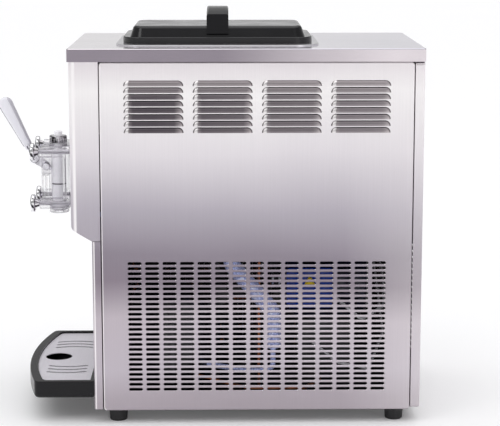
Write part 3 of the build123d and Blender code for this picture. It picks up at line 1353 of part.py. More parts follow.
# ------------------------------------------------------------------ pulleys, belt and drive motor
PULLEY_WIDTH = 16.0
GROOVE_WIDTH = 9.0
GROOVE_DEPTH = 6.0
MOTOR_SHAFT = 8.0
MOTOR_FRONT = 402.0
MOTOR_REAR = 560.0
HOLE_CIRCLE_SHARE = 0.58
HOLE_SHARE = 0.2
SHAFT_INSET = 20.0


def pulley(x, z, radius, shaft_radius, shaft_front, shaft_rear):
    """A grooved pulley at the belt's plane; a shaft is added when it has a length."""
    with BuildPart() as wheel:
        with BuildSketch(across(PULLEY_DEPTH - PULLEY_WIDTH / 2)):
            with Locations((x, z)):
                Circle(radius)
        extrude(amount=-PULLEY_WIDTH)
        with BuildSketch(across(PULLEY_DEPTH - GROOVE_WIDTH / 2)):
            with Locations((x, z)):
                Circle(radius + 1)
                Circle(radius - GROOVE_DEPTH, mode=Mode.SUBTRACT)
        extrude(amount=-GROOVE_WIDTH, mode=Mode.SUBTRACT)
        if radius > 2 * MOTOR_PULLEY_RADIUS:
            with BuildSketch(across(PULLEY_DEPTH - PULLEY_WIDTH / 2)):
                with Locations((x, z)):
                    with PolarLocations(radius * HOLE_CIRCLE_SHARE, WEB_HOLES):
                        Circle(radius * HOLE_SHARE)
            extrude(amount=-PULLEY_WIDTH, mode=Mode.SUBTRACT)
        if shaft_rear > shaft_front:
            with BuildSketch(across(shaft_front)):
                with Locations((x, z)):
                    Circle(shaft_radius)
            extrude(amount=-(shaft_rear - shaft_front))
        else:
            with BuildSketch(across(PULLEY_DEPTH - PULLEY_WIDTH / 2)):
                with Locations((x, z)):
                    Circle(shaft_radius)
            extrude(amount=-PULLEY_WIDTH, mode=Mode.SUBTRACT)
    return wheel.part


driven_pulley = pulley(0, PINION_Z, PULLEY_RADIUS, PINION_SHAFT, 0, 0)
driven_pulley.label = "driven_pulley"
export_step(driven_pulley, "parts/driven_pulley.step")

motor_pulley = pulley(MOTOR_X, MOTOR_Z, MOTOR_PULLEY_RADIUS, MOTOR_SHAFT, PULLEY_DEPTH,
                      MOTOR_REAR - SHAFT_INSET)
motor_pulley.label = "motor_pulley"
export_step(motor_pulley, "parts/motor_pulley.step")

BELT_THICK = 5.0
BELT_WIDTH = 8.0
BELT_LIFT = GROOVE_DEPTH - 2 * GAP

with BuildPart() as drive_belt:
    for belt_offset, belt_mode in ((BELT_THICK, Mode.ADD), (0.0, Mode.SUBTRACT)):
        with BuildSketch(across(PULLEY_DEPTH - BELT_WIDTH / 2)):
            with BuildLine():
                CenterArc((0, PINION_Z), PULLEY_RADIUS - BELT_LIFT + belt_offset, 0, 360)
                CenterArc((MOTOR_X, MOTOR_Z), MOTOR_PULLEY_RADIUS - BELT_LIFT + belt_offset, 0, 360)
            make_hull()
        extrude(amount=-BELT_WIDTH, mode=belt_mode)
drive_belt.part.label = "drive_belt"
export_step(drive_belt.part, "parts/drive_belt.step")

MOTOR_BORE = 8.05
FIN_COUNT = 28
WALL_BEHIND = 5.0
FIN_HEIGHT = 5.0
FIN_THICK = 2.2
BELL_LENGTH = 18.0
BELL_ROUND = 8.0

with BuildPart() as motor_housing:
    with BuildSketch(across(MOTOR_FRONT)):
        with Locations((MOTOR_X, MOTOR_Z)):
            Circle(MOTOR_RADIUS)
    extrude(amount=-(MOTOR_REAR - MOTOR_FRONT))
    fillet(motor_housing.edges().filter_by(GeomType.CIRCLE), BELL_ROUND)
    with BuildSketch(across(MOTOR_FRONT + BELL_LENGTH)):
        with Locations((MOTOR_X, MOTOR_Z)):
            with PolarLocations(MOTOR_RADIUS + FIN_HEIGHT / 2 - 1, FIN_COUNT):
                Rectangle(FIN_HEIGHT + 2, FIN_THICK)
    extrude(amount=-(MOTOR_REAR - MOTOR_FRONT - 2 * BELL_LENGTH))
    with BuildSketch(across(MOTOR_FRONT)):
        with Locations((MOTOR_X, MOTOR_Z)):
            Circle(MOTOR_BORE)
    extrude(amount=-(MOTOR_REAR - MOTOR_FRONT - SHAFT_INSET + WALL_BEHIND), mode=Mode.SUBTRACT)
motor_housing.part.label = "motor_housing"
export_step(motor_housing.part, "parts/motor_housing.step")

TERMINAL_X = MOTOR_X + MOTOR_RADIUS + FIN_HEIGHT - 1
TERMINAL_DEPTHS = (403.0, 490.0)
TERMINAL_HEIGHTS = (214.0, 292.0)
TERMINAL_THICK = 34.0
TERMINAL_CORNER = 7.0
TERMINAL_ROUND = 3.0
TERMINAL_STANDOFF = 1.5
TERMINAL_SCREWS = (70.0, 60.0)
TERMINAL_SCREW = 3.0

with BuildPart() as motor_terminal_box:
    with BuildSketch(sideways(TERMINAL_X + TERMINAL_STANDOFF)):
        with Locations((y_at(sum(TERMINAL_DEPTHS) / 2), sum(TERMINAL_HEIGHTS) / 2)):
            RectangleRounded(TERMINAL_DEPTHS[1] - TERMINAL_DEPTHS[0],
                             TERMINAL_HEIGHTS[1] - TERMINAL_HEIGHTS[0], TERMINAL_CORNER)
    extrude(amount=TERMINAL_THICK)
    fillet(motor_terminal_box.faces().sort_by(Axis.X)[-1].edges(), TERMINAL_ROUND)
    with BuildSketch(sideways(TERMINAL_X + TERMINAL_THICK - 2)):
        with Locations((y_at(sum(TERMINAL_DEPTHS) / 2), sum(TERMINAL_HEIGHTS) / 2)):
            with GridLocations(*TERMINAL_SCREWS, 2, 2):
                Circle(TERMINAL_SCREW)
    extrude(amount=4)
motor_terminal_box.part.label = "motor_terminal_box"
export_step(motor_terminal_box.part, "parts/motor_terminal_box.step")

STAND_HALF = 40.0
STAND_WALL = 4.0
STAND_INSET = 24.0
STAND_LUG = 18.0
LUG_OFFSET = 8.0
STAND_TOP = MOTOR_Z - MOTOR_RADIUS - FIN_HEIGHT - 1
FLOOR_Z = PANEL_BOTTOM + BASE_SHEET

with BuildPart() as motor_stand:
    with BuildSketch(across(MOTOR_FRONT + STAND_INSET)):
        with Locations((MOTOR_X, (FLOOR_Z + STAND_TOP) / 2)):
            Rectangle(2 * STAND_HALF, STAND_TOP - FLOOR_Z)
        with Locations((MOTOR_X, FLOOR_Z + (STAND_TOP - FLOOR_Z - STAND_WALL) / 2)):
            Rectangle(2 * STAND_HALF - 2 * STAND_WALL, STAND_TOP - FLOOR_Z - STAND_WALL, mode=Mode.SUBTRACT)
        for side in (-1, 1):
            with Locations((MOTOR_X + side * (STAND_HALF + LUG_OFFSET), FLOOR_Z + STAND_WALL / 2)):
                Rectangle(STAND_LUG, STAND_WALL)
    extrude(amount=-(MOTOR_REAR - MOTOR_FRONT - 2 * STAND_INSET))
motor_stand.part.label = "motor_stand"
export_step(motor_stand.part, "parts/motor_stand.step")

# ------------------------------------------------------------------ compressor
COMPRESSOR_X = 45.0
COMPRESSOR_DEPTH = 185.0
COMPRESSOR_RADIUS = 82.0
COMPRESSOR_BOTTOM = 42.0
COMPRESSOR_TOP = 232.0
COMPRESSOR_SEAM = 140.0
FOOT_PLATE = 4.0
SHELL_ROUND = 36.0
SEAM_STEP = 4.0
SEAM_HEIGHT = 5.0
FOOT_PLATE_SIZE = (200.0, 120.0)
FOOT_PLATE_CORNER = 18.0
GROMMETS = (170.0, 90.0)
GROMMET_RADIUS = 10.0
POWER_BOX = (24.0, 50.0)
POWER_BOX_HALF = 22.0
POWER_BOX_Z = 110.0

with BuildPart() as compressor_shell:
    with BuildSketch(Plane.XY.offset(COMPRESSOR_BOTTOM)):
        with Locations((COMPRESSOR_X, y_at(COMPRESSOR_DEPTH))):
            Circle(COMPRESSOR_RADIUS)
    extrude(amount=COMPRESSOR_TOP - COMPRESSOR_BOTTOM)
    fillet(compressor_shell.edges().filter_by(GeomType.CIRCLE), SHELL_ROUND)
    with BuildSketch(Plane.XY.offset(COMPRESSOR_SEAM)):
        with Locations((COMPRESSOR_X, y_at(COMPRESSOR_DEPTH))):
            Circle(COMPRESSOR_RADIUS + SEAM_STEP)
    extrude(amount=SEAM_HEIGHT)
    with BuildSketch(Plane.XY.offset(COMPRESSOR_BOTTOM - FOOT_PLATE)):
        with Locations((COMPRESSOR_X, y_at(COMPRESSOR_DEPTH))):
            RectangleRounded(*FOOT_PLATE_SIZE, FOOT_PLATE_CORNER)
    extrude(amount=FOOT_PLATE + 6)
    with BuildSketch(Plane.XY.offset(FLOOR_Z)):
        with Locations((COMPRESSOR_X, y_at(COMPRESSOR_DEPTH))):
            with GridLocations(*GROMMETS, 2, 2):
                Circle(GROMMET_RADIUS)
    extrude(amount=COMPRESSOR_BOTTOM - FOOT_PLATE - FLOOR_Z)
    with BuildSketch(sideways(COMPRESSOR_X)):
        with Locations((y_at(COMPRESSOR_DEPTH - COMPRESSOR_RADIUS), POWER_BOX_Z)):
            RectangleRounded(*POWER_BOX, 4)
    extrude(amount=POWER_BOX_HALF, both=True)
compressor_shell.part.label = "compressor_shell"
export_step(compressor_shell.part, "parts/compressor_shell.step")

# ------------------------------------------------------------------ condenser, shroud and fan
CORE_X = (-182.0, -150.0)
CORE_DEPTHS = (112.0, 432.0)
CORE_HEIGHTS = (50.0, 320.0)
FIN_PITCH = 10.0
FIN_SHEET = 0.8
TUBE_ROWS = 9
TUBE_RADIUS = 4.5
core_middle = (CORE_X[0] + CORE_X[1]) / 2
core_length = CORE_DEPTHS[1] - CORE_DEPTHS[0]
core_height = CORE_HEIGHTS[1] - CORE_HEIGHTS[0]
tube_pitch = core_height / TUBE_ROWS
tube_heights = [CORE_HEIGHTS[0] + tube_pitch * (row + 0.5) for row in range(TUBE_ROWS)]
fin_count = int(core_length / FIN_PITCH)

with BuildPart() as condenser_fins:
    with BuildSketch(across(CORE_DEPTHS[0] + 2)) as fin_sketch:
        with Locations((core_middle, sum(CORE_HEIGHTS) / 2)):
            Rectangle(CORE_X[1] - CORE_X[0], core_height)
        with Locations(*[(core_middle, z) for z in tube_heights]):
            Circle(TUBE_RADIUS, mode=Mode.SUBTRACT)
    fin = extrude(amount=-FIN_SHEET)
    with Locations(*[(0, FIN_PITCH * index, 0) for index in range(1, fin_count)]):
        add(fin)
condenser_fins.part.label = "condenser_fins"
export_step(condenser_fins.part, "parts/condenser_fins.step")

with BuildPart() as condenser_tubes:
    with BuildSketch(across(CORE_DEPTHS[0])):
        with Locations(*[(core_middle, z) for z in tube_heights]):
            Circle(TUBE_RADIUS)
    extrude(amount=-core_length)
    for row in range(TUBE_ROWS - 1):
        at_rear = row % 2 == 0
        bend_depth = CORE_DEPTHS[1] if at_rear else CORE_DEPTHS[0]
        middle_z = (tube_heights[row] + tube_heights[row + 1]) / 2
        with BuildSketch(across(bend_depth)):
            with Locations((core_middle, tube_heights[row])):
                Circle(TUBE_RADIUS)
        revolve(
            axis=Axis((0, y_at(bend_depth), middle_z), (1, 0, 0)),
            revolution_arc=180 if at_rear else -180,
        )
condenser_tubes.part.label = "condenser_tubes"
export_step(condenser_tubes.part, "parts/condenser_tubes.step")

FAN_X = -118.0
FAN_DEPTH = 272.0
FAN_Z = 185.0
FAN_RADIUS = 112.0
FAN_HUB = 24.0
FAN_BLADES = 5
FAN_PITCH = 28.0
SHROUD_X = -148.0
SHROUD_DEPTH = 12.0
SHROUD_SHEET = 2.0
FAN_CLEARANCE = 4.0
RING_LENGTH = 30.0
RING_END = SHROUD_X + SHROUD_DEPTH + RING_LENGTH
SPIDER_ARM = 10.0
SPIDER_THICK = 3.0
SPIDER_X = RING_END + SHROUD_SHEET
SPIDER_HUB = 30.0
SPIDER_BORE = 5.0

with BuildPart() as fan_shroud:
    with BuildSketch(sideways(SHROUD_X)):
        with Locations((y_at(sum(CORE_DEPTHS) / 2), sum(CORE_HEIGHTS) / 2)):
            RectangleRounded(core_length, core_height, 6)
    extrude(amount=SHROUD_DEPTH + SHROUD_SHEET)
    with BuildSketch(sideways(SHROUD_X)):
        with Locations((y_at(sum(CORE_DEPTHS) / 2), sum(CORE_HEIGHTS) / 2)):
            RectangleRounded(core_length - 2 * SHROUD_SHEET, core_height - 2 * SHROUD_SHEET, 4)
    extrude(amount=SHROUD_DEPTH, mode=Mode.SUBTRACT)
    with BuildSketch(sideways(SHROUD_X + SHROUD_DEPTH)):
        with Locations((y_at(FAN_DEPTH), FAN_Z)):
            Circle(FAN_RADIUS + FAN_CLEARANCE + SHROUD_SHEET)
    extrude(amount=RING_LENGTH)
    with BuildSketch(sideways(SHROUD_X + SHROUD_DEPTH - SHROUD_SHEET)):
        with Locations((y_at(FAN_DEPTH), FAN_Z)):
            Circle(FAN_RADIUS + FAN_CLEARANCE)
    extrude(amount=RING_LENGTH + 2 * SHROUD_SHEET, mode=Mode.SUBTRACT)
    with BuildSketch(sideways(SPIDER_X)):
        with Locations((y_at(FAN_DEPTH), FAN_Z)):
            Rectangle(2 * (FAN_RADIUS + FAN_CLEARANCE + SHROUD_SHEET), SPIDER_ARM)
            Rectangle(SPIDER_ARM, 2 * (FAN_RADIUS + FAN_CLEARANCE + SHROUD_SHEET))
            Circle(SPIDER_HUB)
    extrude(amount=SPIDER_THICK)
    with BuildSketch(sideways(RING_END)):
        with Locations((y_at(FAN_DEPTH), FAN_Z)):
            Circle(FAN_RADIUS + FAN_CLEARANCE + SHROUD_SHEET)
            Circle(FAN_RADIUS + FAN_CLEARANCE, mode=Mode.SUBTRACT)
    extrude(amount=SHROUD_SHEET + SPIDER_THICK)
    with BuildSketch(sideways(RING_END)):
        with Locations((y_at(FAN_DEPTH), FAN_Z)):
            Circle(SPIDER_BORE)
    extrude(amount=2 * (SHROUD_SHEET + SPIDER_THICK), mode=Mode.SUBTRACT)
fan_shroud.part.label = "fan_shroud"
export_step(fan_shroud.part, "parts/fan_shroud.step")

FAN_MOTOR_X = SPIDER_X + SPIDER_THICK
FAN_MOTOR_RADIUS = 29.0
FAN_MOTOR_LENGTH = 42.0
FAN_MOTOR_ROUND = 8.0
FAN_SHAFT = 3.0
FAN_SHAFT_END = -78.0
FAN_SOCKET = 30.0

with BuildPart() as fan_motor:
    with BuildSketch(sideways(FAN_MOTOR_X)):
        with Locations((y_at(FAN_DEPTH), FAN_Z)):
            Circle(FAN_MOTOR_RADIUS)
    extrude(amount=FAN_MOTOR_LENGTH)
    fillet(fan_motor.faces().sort_by(Axis.X)[-1].edges(), FAN_MOTOR_ROUND)
    with BuildSketch(sideways(FAN_MOTOR_X)):
        with Locations((y_at(FAN_DEPTH), FAN_Z)):
            Circle(FAN_SHAFT + RUNNING)
    extrude(amount=FAN_SOCKET, mode=Mode.SUBTRACT)
fan_motor.part.label = "fan_motor"
export_step(fan_motor.part, "parts/fan_motor.step")

HUB_LENGTH = 22.0
BLADE_CHORDS = (22.0, 44.0)
FAN_BLADE_THICK = 1.8

with BuildPart() as fan_blade:
    with BuildSketch(sideways(FAN_X - SHROUD_DEPTH)):
        with Locations((y_at(FAN_DEPTH), FAN_Z)):
            Circle(FAN_HUB)
    extrude(amount=HUB_LENGTH)
    fillet(fan_blade.faces().sort_by(Axis.X)[0].edges(), 4)
    for blade_number in range(FAN_BLADES):
        spin = 2 * math.pi * blade_number / FAN_BLADES
        radial = Vector(0, math.cos(spin), math.sin(spin))
        blade_plane = Plane(
            origin=Vector(FAN_X, y_at(FAN_DEPTH), FAN_Z) + radial * (FAN_HUB - 3),
            x_dir=Vector(1, 0, 0).rotate(Axis((0, 0, 0), tuple(radial)), 90 - FAN_PITCH),
            z_dir=radial,
        )
        with BuildSketch(blade_plane):
            Rectangle(BLADE_CHORDS[0], FAN_BLADE_THICK)
        with BuildSketch(blade_plane.offset(FAN_RADIUS - FAN_HUB)):
            Rectangle(BLADE_CHORDS[1], FAN_BLADE_THICK)
        loft()
    with BuildSketch(sideways(FAN_X)):
        with Locations((y_at(FAN_DEPTH), FAN_Z)):
            Circle(FAN_SHAFT)
    extrude(amount=FAN_SHAFT_END - FAN_X)
fan_blade.part.label = "fan_blade"
export_step(fan_blade.part, "parts/fan_blade.step")

# ------------------------------------------------------------------ pipes and wiring


def tube_along(points, radius, bend):
    """A round bar along straight runs joined by equal arcs."""
    with BuildPart() as tube:
        with BuildLine() as path:
            FilletPolyline(*points, radius=bend)
        with BuildSketch(Plane(origin=path.line @ 0, z_dir=path.line % 0)):
            Circle(radius)
        sweep()
    return tube.part


SUCTION_X = 156.0
SUCTION_RADIUS = 15.0
SUCTION_FRONT = 299.0
SUCTION_REAR = 378.0
SUCTION_HEIGHTS = (137.0, 206.0, 296.0, 360.0)
BARE_RADIUS = 5.0
BARE_BOTTOM = 84.0
UNDER_BARREL = 353.0
LIQUID_Z = 57.0
LIQUID_X = 164.0
LIQUID_RADIUS = 4.0
CAPILLARY_RADIUS = 3.2
CAPILLARY_X = 128.0
CAPILLARY_DEPTH = 352.0
DRIER_DEPTH = 500.0
DRIER_Z = 60.0
DRIER_RADIUS = 13.0
DRIER_ENDS = (-58.0, 8.0)
DRIER_STUB = 4.5
DRIER_ROUND = 8.0

with BuildPart() as suction_line:
    add(tube_along(
        [
            (SUCTION_X - 4, y_at(SUCTION_FRONT), SUCTION_HEIGHTS[3]),
            (SUCTION_X, y_at(SUCTION_FRONT), SUCTION_HEIGHTS[2]),
            (SUCTION_X, y_at(SUCTION_REAR), SUCTION_HEIGHTS[1]),
            (SUCTION_X, y_at(SUCTION_REAR), SUCTION_HEIGHTS[0]),
        ],
        SUCTION_RADIUS, 2 * SUCTION_RADIUS,
    ))
    add(tube_along(
        [
            (SUCTION_X, y_at(SUCTION_REAR), SUCTION_HEIGHTS[0] + 1),
            (SUCTION_X, y_at(SUCTION_REAR), BARE_BOTTOM + 8),
            (SUCTION_X - 22, y_at(SUCTION_REAR - 48), BARE_BOTTOM),
            (COMPRESSOR_X + 40, y_at(COMPRESSOR_DEPTH + 62), BARE_BOTTOM),
        ],
        BARE_RADIUS, 16,
    ))
    add(tube_along(
        [
            (SUCTION_X - 4, y_at(SUCTION_FRONT), UNDER_BARREL - 1),
            (100, y_at(210), UNDER_BARREL),
            (20, y_at(90), UNDER_BARREL),
            (0, y_at(STUB_DEPTHS[0]), UNDER_BARREL + 8.5),
            (0, y_at(STUB_DEPTHS[0]), STUB_FOOT),
        ],
        BARE_RADIUS, 8,
    ))
suction_line.part.label = "suction_line"
export_step(suction_line.part, "parts/suction_line.step")

with BuildPart() as copper_lines:
    add(tube_along(
        [
            (COMPRESSOR_X + 60, y_at(COMPRESSOR_DEPTH + 50), LIQUID_Z + 9),
            (COMPRESSOR_X + 95, y_at(SUCTION_FRONT + 1), LIQUID_Z + 1),
            (LIQUID_X, y_at(330), LIQUID_Z),
            (LIQUID_X, y_at(436), LIQUID_Z),
            (LIQUID_X - 54, y_at(470), LIQUID_Z),
        ],
        LIQUID_RADIUS, 12,
    ))
    add(tube_along(
        [
            (CAPILLARY_X, y_at(CAPILLARY_DEPTH), PANEL_BOTTOM + 15),
            (CAPILLARY_X, y_at(CAPILLARY_DEPTH), 300),
            (CAPILLARY_X + 12, y_at(CAPILLARY_DEPTH - 27), 346),
            (CAPILLARY_X / 2 - 4, y_at(240), UNDER_BARREL),
            (0, y_at(STUB_DEPTHS[1]), UNDER_BARREL),
            (0, y_at(STUB_DEPTHS[1]), STUB_FOOT),
        ],
        CAPILLARY_RADIUS, 12,
    ))
    add(tube_along(
        [
            (core_middle, y_at(CORE_DEPTHS[1] + 1), tube_heights[0]),
            (core_middle, y_at(DRIER_DEPTH - 30), tube_heights[0]),
            (-110, y_at(DRIER_DEPTH), DRIER_Z),
            (DRIER_ENDS[0] - 2, y_at(DRIER_DEPTH), DRIER_Z),
        ],
        LIQUID_RADIUS, 12,
    ))
copper_lines.part.label = "copper_lines"
export_step(copper_lines.part, "parts/copper_lines.step")

with BuildPart() as filter_drier:
    with BuildSketch(sideways(DRIER_ENDS[0])):
        with Locations((y_at(DRIER_DEPTH), DRIER_Z)):
            Circle(DRIER_RADIUS)
    extrude(amount=DRIER_ENDS[1] - DRIER_ENDS[0])
    fillet(filter_drier.edges().filter_by(GeomType.CIRCLE), DRIER_ROUND)
    with BuildSketch(sideways(DRIER_ENDS[0] - 2)):
        with Locations((y_at(DRIER_DEPTH), DRIER_Z)):
            Circle(DRIER_STUB)
    extrude(amount=DRIER_ENDS[1] - DRIER_ENDS[0] + 6)
filter_drier.part.label = "filter_drier"
export_step(filter_drier.part, "parts/filter_drier.step")

BOX_DEPTHS = (470.0, 600.0)
BOX_HEIGHTS = (420.0, 600.0)
BOX_X = (-150.0, 60.0)
BOX_CORNER = 5.0
BRACKET_OFFSET = 80.0
BRACKET_SHEET = 4.0
BRACKET_LENGTH = 60.0

with BuildPart() as electrical_box:
    with BuildSketch(sideways(BOX_X[0])):
        with Locations((y_at(sum(BOX_DEPTHS) / 2), sum(BOX_HEIGHTS) / 2)):
            RectangleRounded(BOX_DEPTHS[1] - BOX_DEPTHS[0], BOX_HEIGHTS[1] - BOX_HEIGHTS[0], BOX_CORNER)
    extrude(amount=BOX_X[1] - BOX_X[0])
    offset(amount=-SHEET, openings=electrical_box.faces().sort_by(Axis.X)[0])
    with BuildSketch(sideways(BOX_X[0])):
        with Locations((y_at(sum(BOX_DEPTHS) / 2), sum(BOX_HEIGHTS) / 2)):
            RectangleRounded(BOX_DEPTHS[1] - BOX_DEPTHS[0], BOX_HEIGHTS[1] - BOX_HEIGHTS[0], BOX_CORNER)
    extrude(amount=-SHEET)
    for side in (-1, 1):
        with BuildSketch(Plane.XY.offset(DECK_Z + DECK_SHEET)):
            with Locations((sum(BOX_X) / 2 + side * BRACKET_OFFSET, y_at(sum(BOX_DEPTHS) / 2))):
                Rectangle(BRACKET_SHEET, BRACKET_LENGTH)
        extrude(amount=BOX_HEIGHTS[0] - DECK_Z - DECK_SHEET)
electrical_box.part.label = "electrical_box"
export_step(electrical_box.part, "parts/electrical_box.step")

HARNESS = (
    ([(-130, y_at(590), 418), (-130, y_at(575), 320), (-40, y_at(600), 250), (150, y_at(590), 215),
      (158, y_at(545), 190), (145, y_at(494), 232)], 3.0, 10),
    ([(-110, y_at(590), 418), (-110, y_at(580), 322), (20, y_at(600), 130), (168, y_at(560), 96),
      (172, y_at(500), 110), (165, y_at(450), 150)], 2.4, 10),
    ([(-120, y_at(560), 418), (-120, y_at(560), 300), (-125, y_at(500), 180), (-95, y_at(440), 150),
      (-60, y_at(330), 190)], 2.4, 10),
)

with BuildPart() as wiring_harness:
    for wire_points, wire_radius, wire_bend in HARNESS:
        add(tube_along(wire_points, wire_radius, wire_bend))
wiring_harness.part.label = "wiring_harness"
export_step(wiring_harness.part, "parts/wiring_harness.step")

# ------------------------------------------------------------------ drip tray and its plate
TRAY_REAR = LOWER_FACE - 0.3
TRAY_CORNER_RADIUS = 12.0
TRAY_WALL_FRONT = 15.0
TRAY_WALL_SIDE = 10.0
TRAY_WALL_REAR = 8.0
TRAY_FLOOR = 5.0
PLATE_TOP = 76.0
PLATE_SHEET = 1.5
PLATE_LEDGE = 5.0
PLATE_GAP = 0.6
HOLE_DEPTH = -44.0
HOLE_RADIUS = 26.0
ARC_SLOT_X = 88.0
ARC_SLOT_PITCH = 21.0
ARC_SLOT_LENGTH = 72.0
ARC_SLOT_WIDTH = 6.0
ARC_SLOT_DEPTH = -19.0
ARC_SLOT_BULGE = 7.0
SOCKET_BLOCK = 20.0
SOCKET_LENGTH = 30.0
TRAY_ROUND = 7.0
TRAY_EDGE = 2.0


def tray_outline(inset_side, inset_front, inset_rear, corner):
    """Bowed front, straight sides and back, drawn inwards by the three insets."""
    half = TRAY_HALF - inset_side
    rear = y_at(TRAY_REAR - inset_rear)
    front = y_at(TRAY_CORNER + inset_front)
    nose = y_at(TRAY_BOW + inset_front)
    with BuildSketch() as outline:
        with BuildLine():
            Polyline((-half, front), (-half, rear), (half, rear), (half, front))
            ThreePointArc((half, front), (0, nose), (-half, front))
        make_face()
        fillet(outline.vertices().group_by(Axis.Y)[0], corner)
    return outline.sketch


def tray_block(bottom, top, inset_side, inset_front, inset_rear, corner):
    """An upright block with the tray outline, from bottom to top."""
    with BuildPart() as block:
        with BuildSketch(Plane.XY.offset(bottom)):
            add(tray_outline(inset_side, inset_front, inset_rear, corner))
        extrude(amount=top - bottom)
    return block.part


with BuildPart() as drip_tray:
    add(tray_block(TRAY_BOTTOM, TRAY_TOP, 0, 0, 0, TRAY_CORNER_RADIUS))
    fillet(drip_tray.faces().sort_by(Axis.Z)[0].edges(), TRAY_ROUND)
    fillet(drip_tray.faces().sort_by(Axis.Z)[-1].edges(), TRAY_EDGE)
    add(tray_block(PLATE_TOP - PLATE_SHEET, TRAY_TOP + 1, TRAY_WALL_SIDE, TRAY_WALL_FRONT, TRAY_WALL_REAR,
                   TRAY_CORNER_RADIUS), mode=Mode.SUBTRACT)
    add(tray_block(TRAY_BOTTOM + TRAY_FLOOR, TRAY_TOP, TRAY_WALL_SIDE + PLATE_LEDGE,
                   TRAY_WALL_FRONT + PLATE_LEDGE, TRAY_WALL_REAR + PLATE_LEDGE, TRAY_CORNER_RADIUS),
        mode=Mode.SUBTRACT)
    for side in (-1, 1):
        with BuildSketch(across(TRAY_REAR - SOCKET_LENGTH)):
            with Locations((side * TRAY_PIN_X, TRAY_PIN_Z - 1)):
                Rectangle(SOCKET_BLOCK, SOCKET_BLOCK)
        extrude(amount=-(SOCKET_LENGTH - 1))
        with BuildSketch(across(TRAY_REAR - TRAY_PIN_LENGTH - 1)):
            with Locations((side * TRAY_PIN_X, TRAY_PIN_Z)):
                Circle(TRAY_PIN_RADIUS + GAP)
        extrude(amount=-SOCKET_LENGTH, mode=Mode.SUBTRACT)
drip_tray.part.label = "drip_tray"
export_step(drip_tray.part, "parts/drip_tray.step")

with BuildPart() as drip_plate:
    add(tray_block(PLATE_TOP - PLATE_SHEET + 0.1, PLATE_TOP, TRAY_WALL_SIDE + PLATE_GAP,
                   TRAY_WALL_FRONT + PLATE_GAP, TRAY_WALL_REAR + PLATE_GAP, TRAY_CORNER_RADIUS))
    with BuildSketch(Plane.XY.offset(PLATE_TOP - 2 * PLATE_SHEET)):
        with Locations((0, y_at(HOLE_DEPTH))):
            Circle(HOLE_RADIUS)
        for side in (-1, 1):
            for lane in (-1, 0, 1):
                slot_x = side * (ARC_SLOT_X + lane * ARC_SLOT_PITCH)
                arc_ends = [(slot_x, y_at(ARC_SLOT_DEPTH - ARC_SLOT_LENGTH / 2)),
                            (slot_x, y_at(ARC_SLOT_DEPTH + ARC_SLOT_LENGTH / 2))]
                arc_middle = (slot_x + side * ARC_SLOT_BULGE, y_at(ARC_SLOT_DEPTH))
                SlotArc(ThreePointArc(arc_ends[0], arc_middle, arc_ends[1]), ARC_SLOT_WIDTH)
    extrude(amount=3 * PLATE_SHEET, mode=Mode.SUBTRACT)
drip_plate.part.label = "drip_plate"
export_step(drip_plate.part, "parts/drip_plate.step")
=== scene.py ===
"""Looks of a countertop soft-serve ice cream maker: materials, fine pieces, floor, light and camera.

Everything is in metres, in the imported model's frame: +X is the machine's right side, -Y its dispensing
side and +Z is up.
"""

import math

import bmesh
import bpy
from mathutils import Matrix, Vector


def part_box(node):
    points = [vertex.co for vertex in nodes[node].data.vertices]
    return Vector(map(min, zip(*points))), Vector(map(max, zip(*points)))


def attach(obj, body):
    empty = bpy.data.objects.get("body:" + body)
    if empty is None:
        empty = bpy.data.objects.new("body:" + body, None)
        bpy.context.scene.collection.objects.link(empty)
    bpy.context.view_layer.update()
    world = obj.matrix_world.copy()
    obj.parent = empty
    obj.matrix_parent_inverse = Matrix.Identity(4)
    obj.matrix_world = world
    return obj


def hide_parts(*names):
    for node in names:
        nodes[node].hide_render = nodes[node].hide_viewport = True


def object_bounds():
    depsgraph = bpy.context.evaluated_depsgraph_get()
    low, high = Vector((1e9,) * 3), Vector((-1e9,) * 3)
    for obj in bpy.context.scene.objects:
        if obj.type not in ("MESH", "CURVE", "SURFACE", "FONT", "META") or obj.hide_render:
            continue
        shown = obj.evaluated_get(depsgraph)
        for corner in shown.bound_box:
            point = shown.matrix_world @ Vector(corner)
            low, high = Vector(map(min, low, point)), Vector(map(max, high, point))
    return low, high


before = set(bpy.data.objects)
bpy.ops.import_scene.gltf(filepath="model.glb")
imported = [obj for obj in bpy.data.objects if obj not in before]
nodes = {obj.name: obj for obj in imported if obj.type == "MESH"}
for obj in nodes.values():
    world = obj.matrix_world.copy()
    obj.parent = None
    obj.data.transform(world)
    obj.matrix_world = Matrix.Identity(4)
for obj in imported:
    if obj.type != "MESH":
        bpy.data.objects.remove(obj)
cad_low, cad_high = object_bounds()
cover_low, cover_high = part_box("top_cover")
hoods_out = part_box("right_side_panel")[1].x  # how far the louvre hoods reach from the middle plane
upper_front_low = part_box("front_upper_panel")[0].z

MM = 0.001


# ---------------------------------------------------------------- material tools


def rgb(red, green, blue):
    """A display colour, 0 to 255 each, as the linear colour that a shader takes."""
    def linear(value):
        share = value / 255
        return share / 12.92 if share <= 0.04045 else ((share + 0.055) / 1.055) ** 2.4
    return (linear(red), linear(green), linear(blue), 1.0)


def set_stops(node, stops):
    """Gives a colour ramp its stops, each a share from 0 to 1 and a linear colour."""
    points = node.color_ramp.elements
    while len(points) < len(stops):
        points.new(0.5)
    for point, (share, colour) in zip(points, stops):
        point.position = share
        point.color = colour


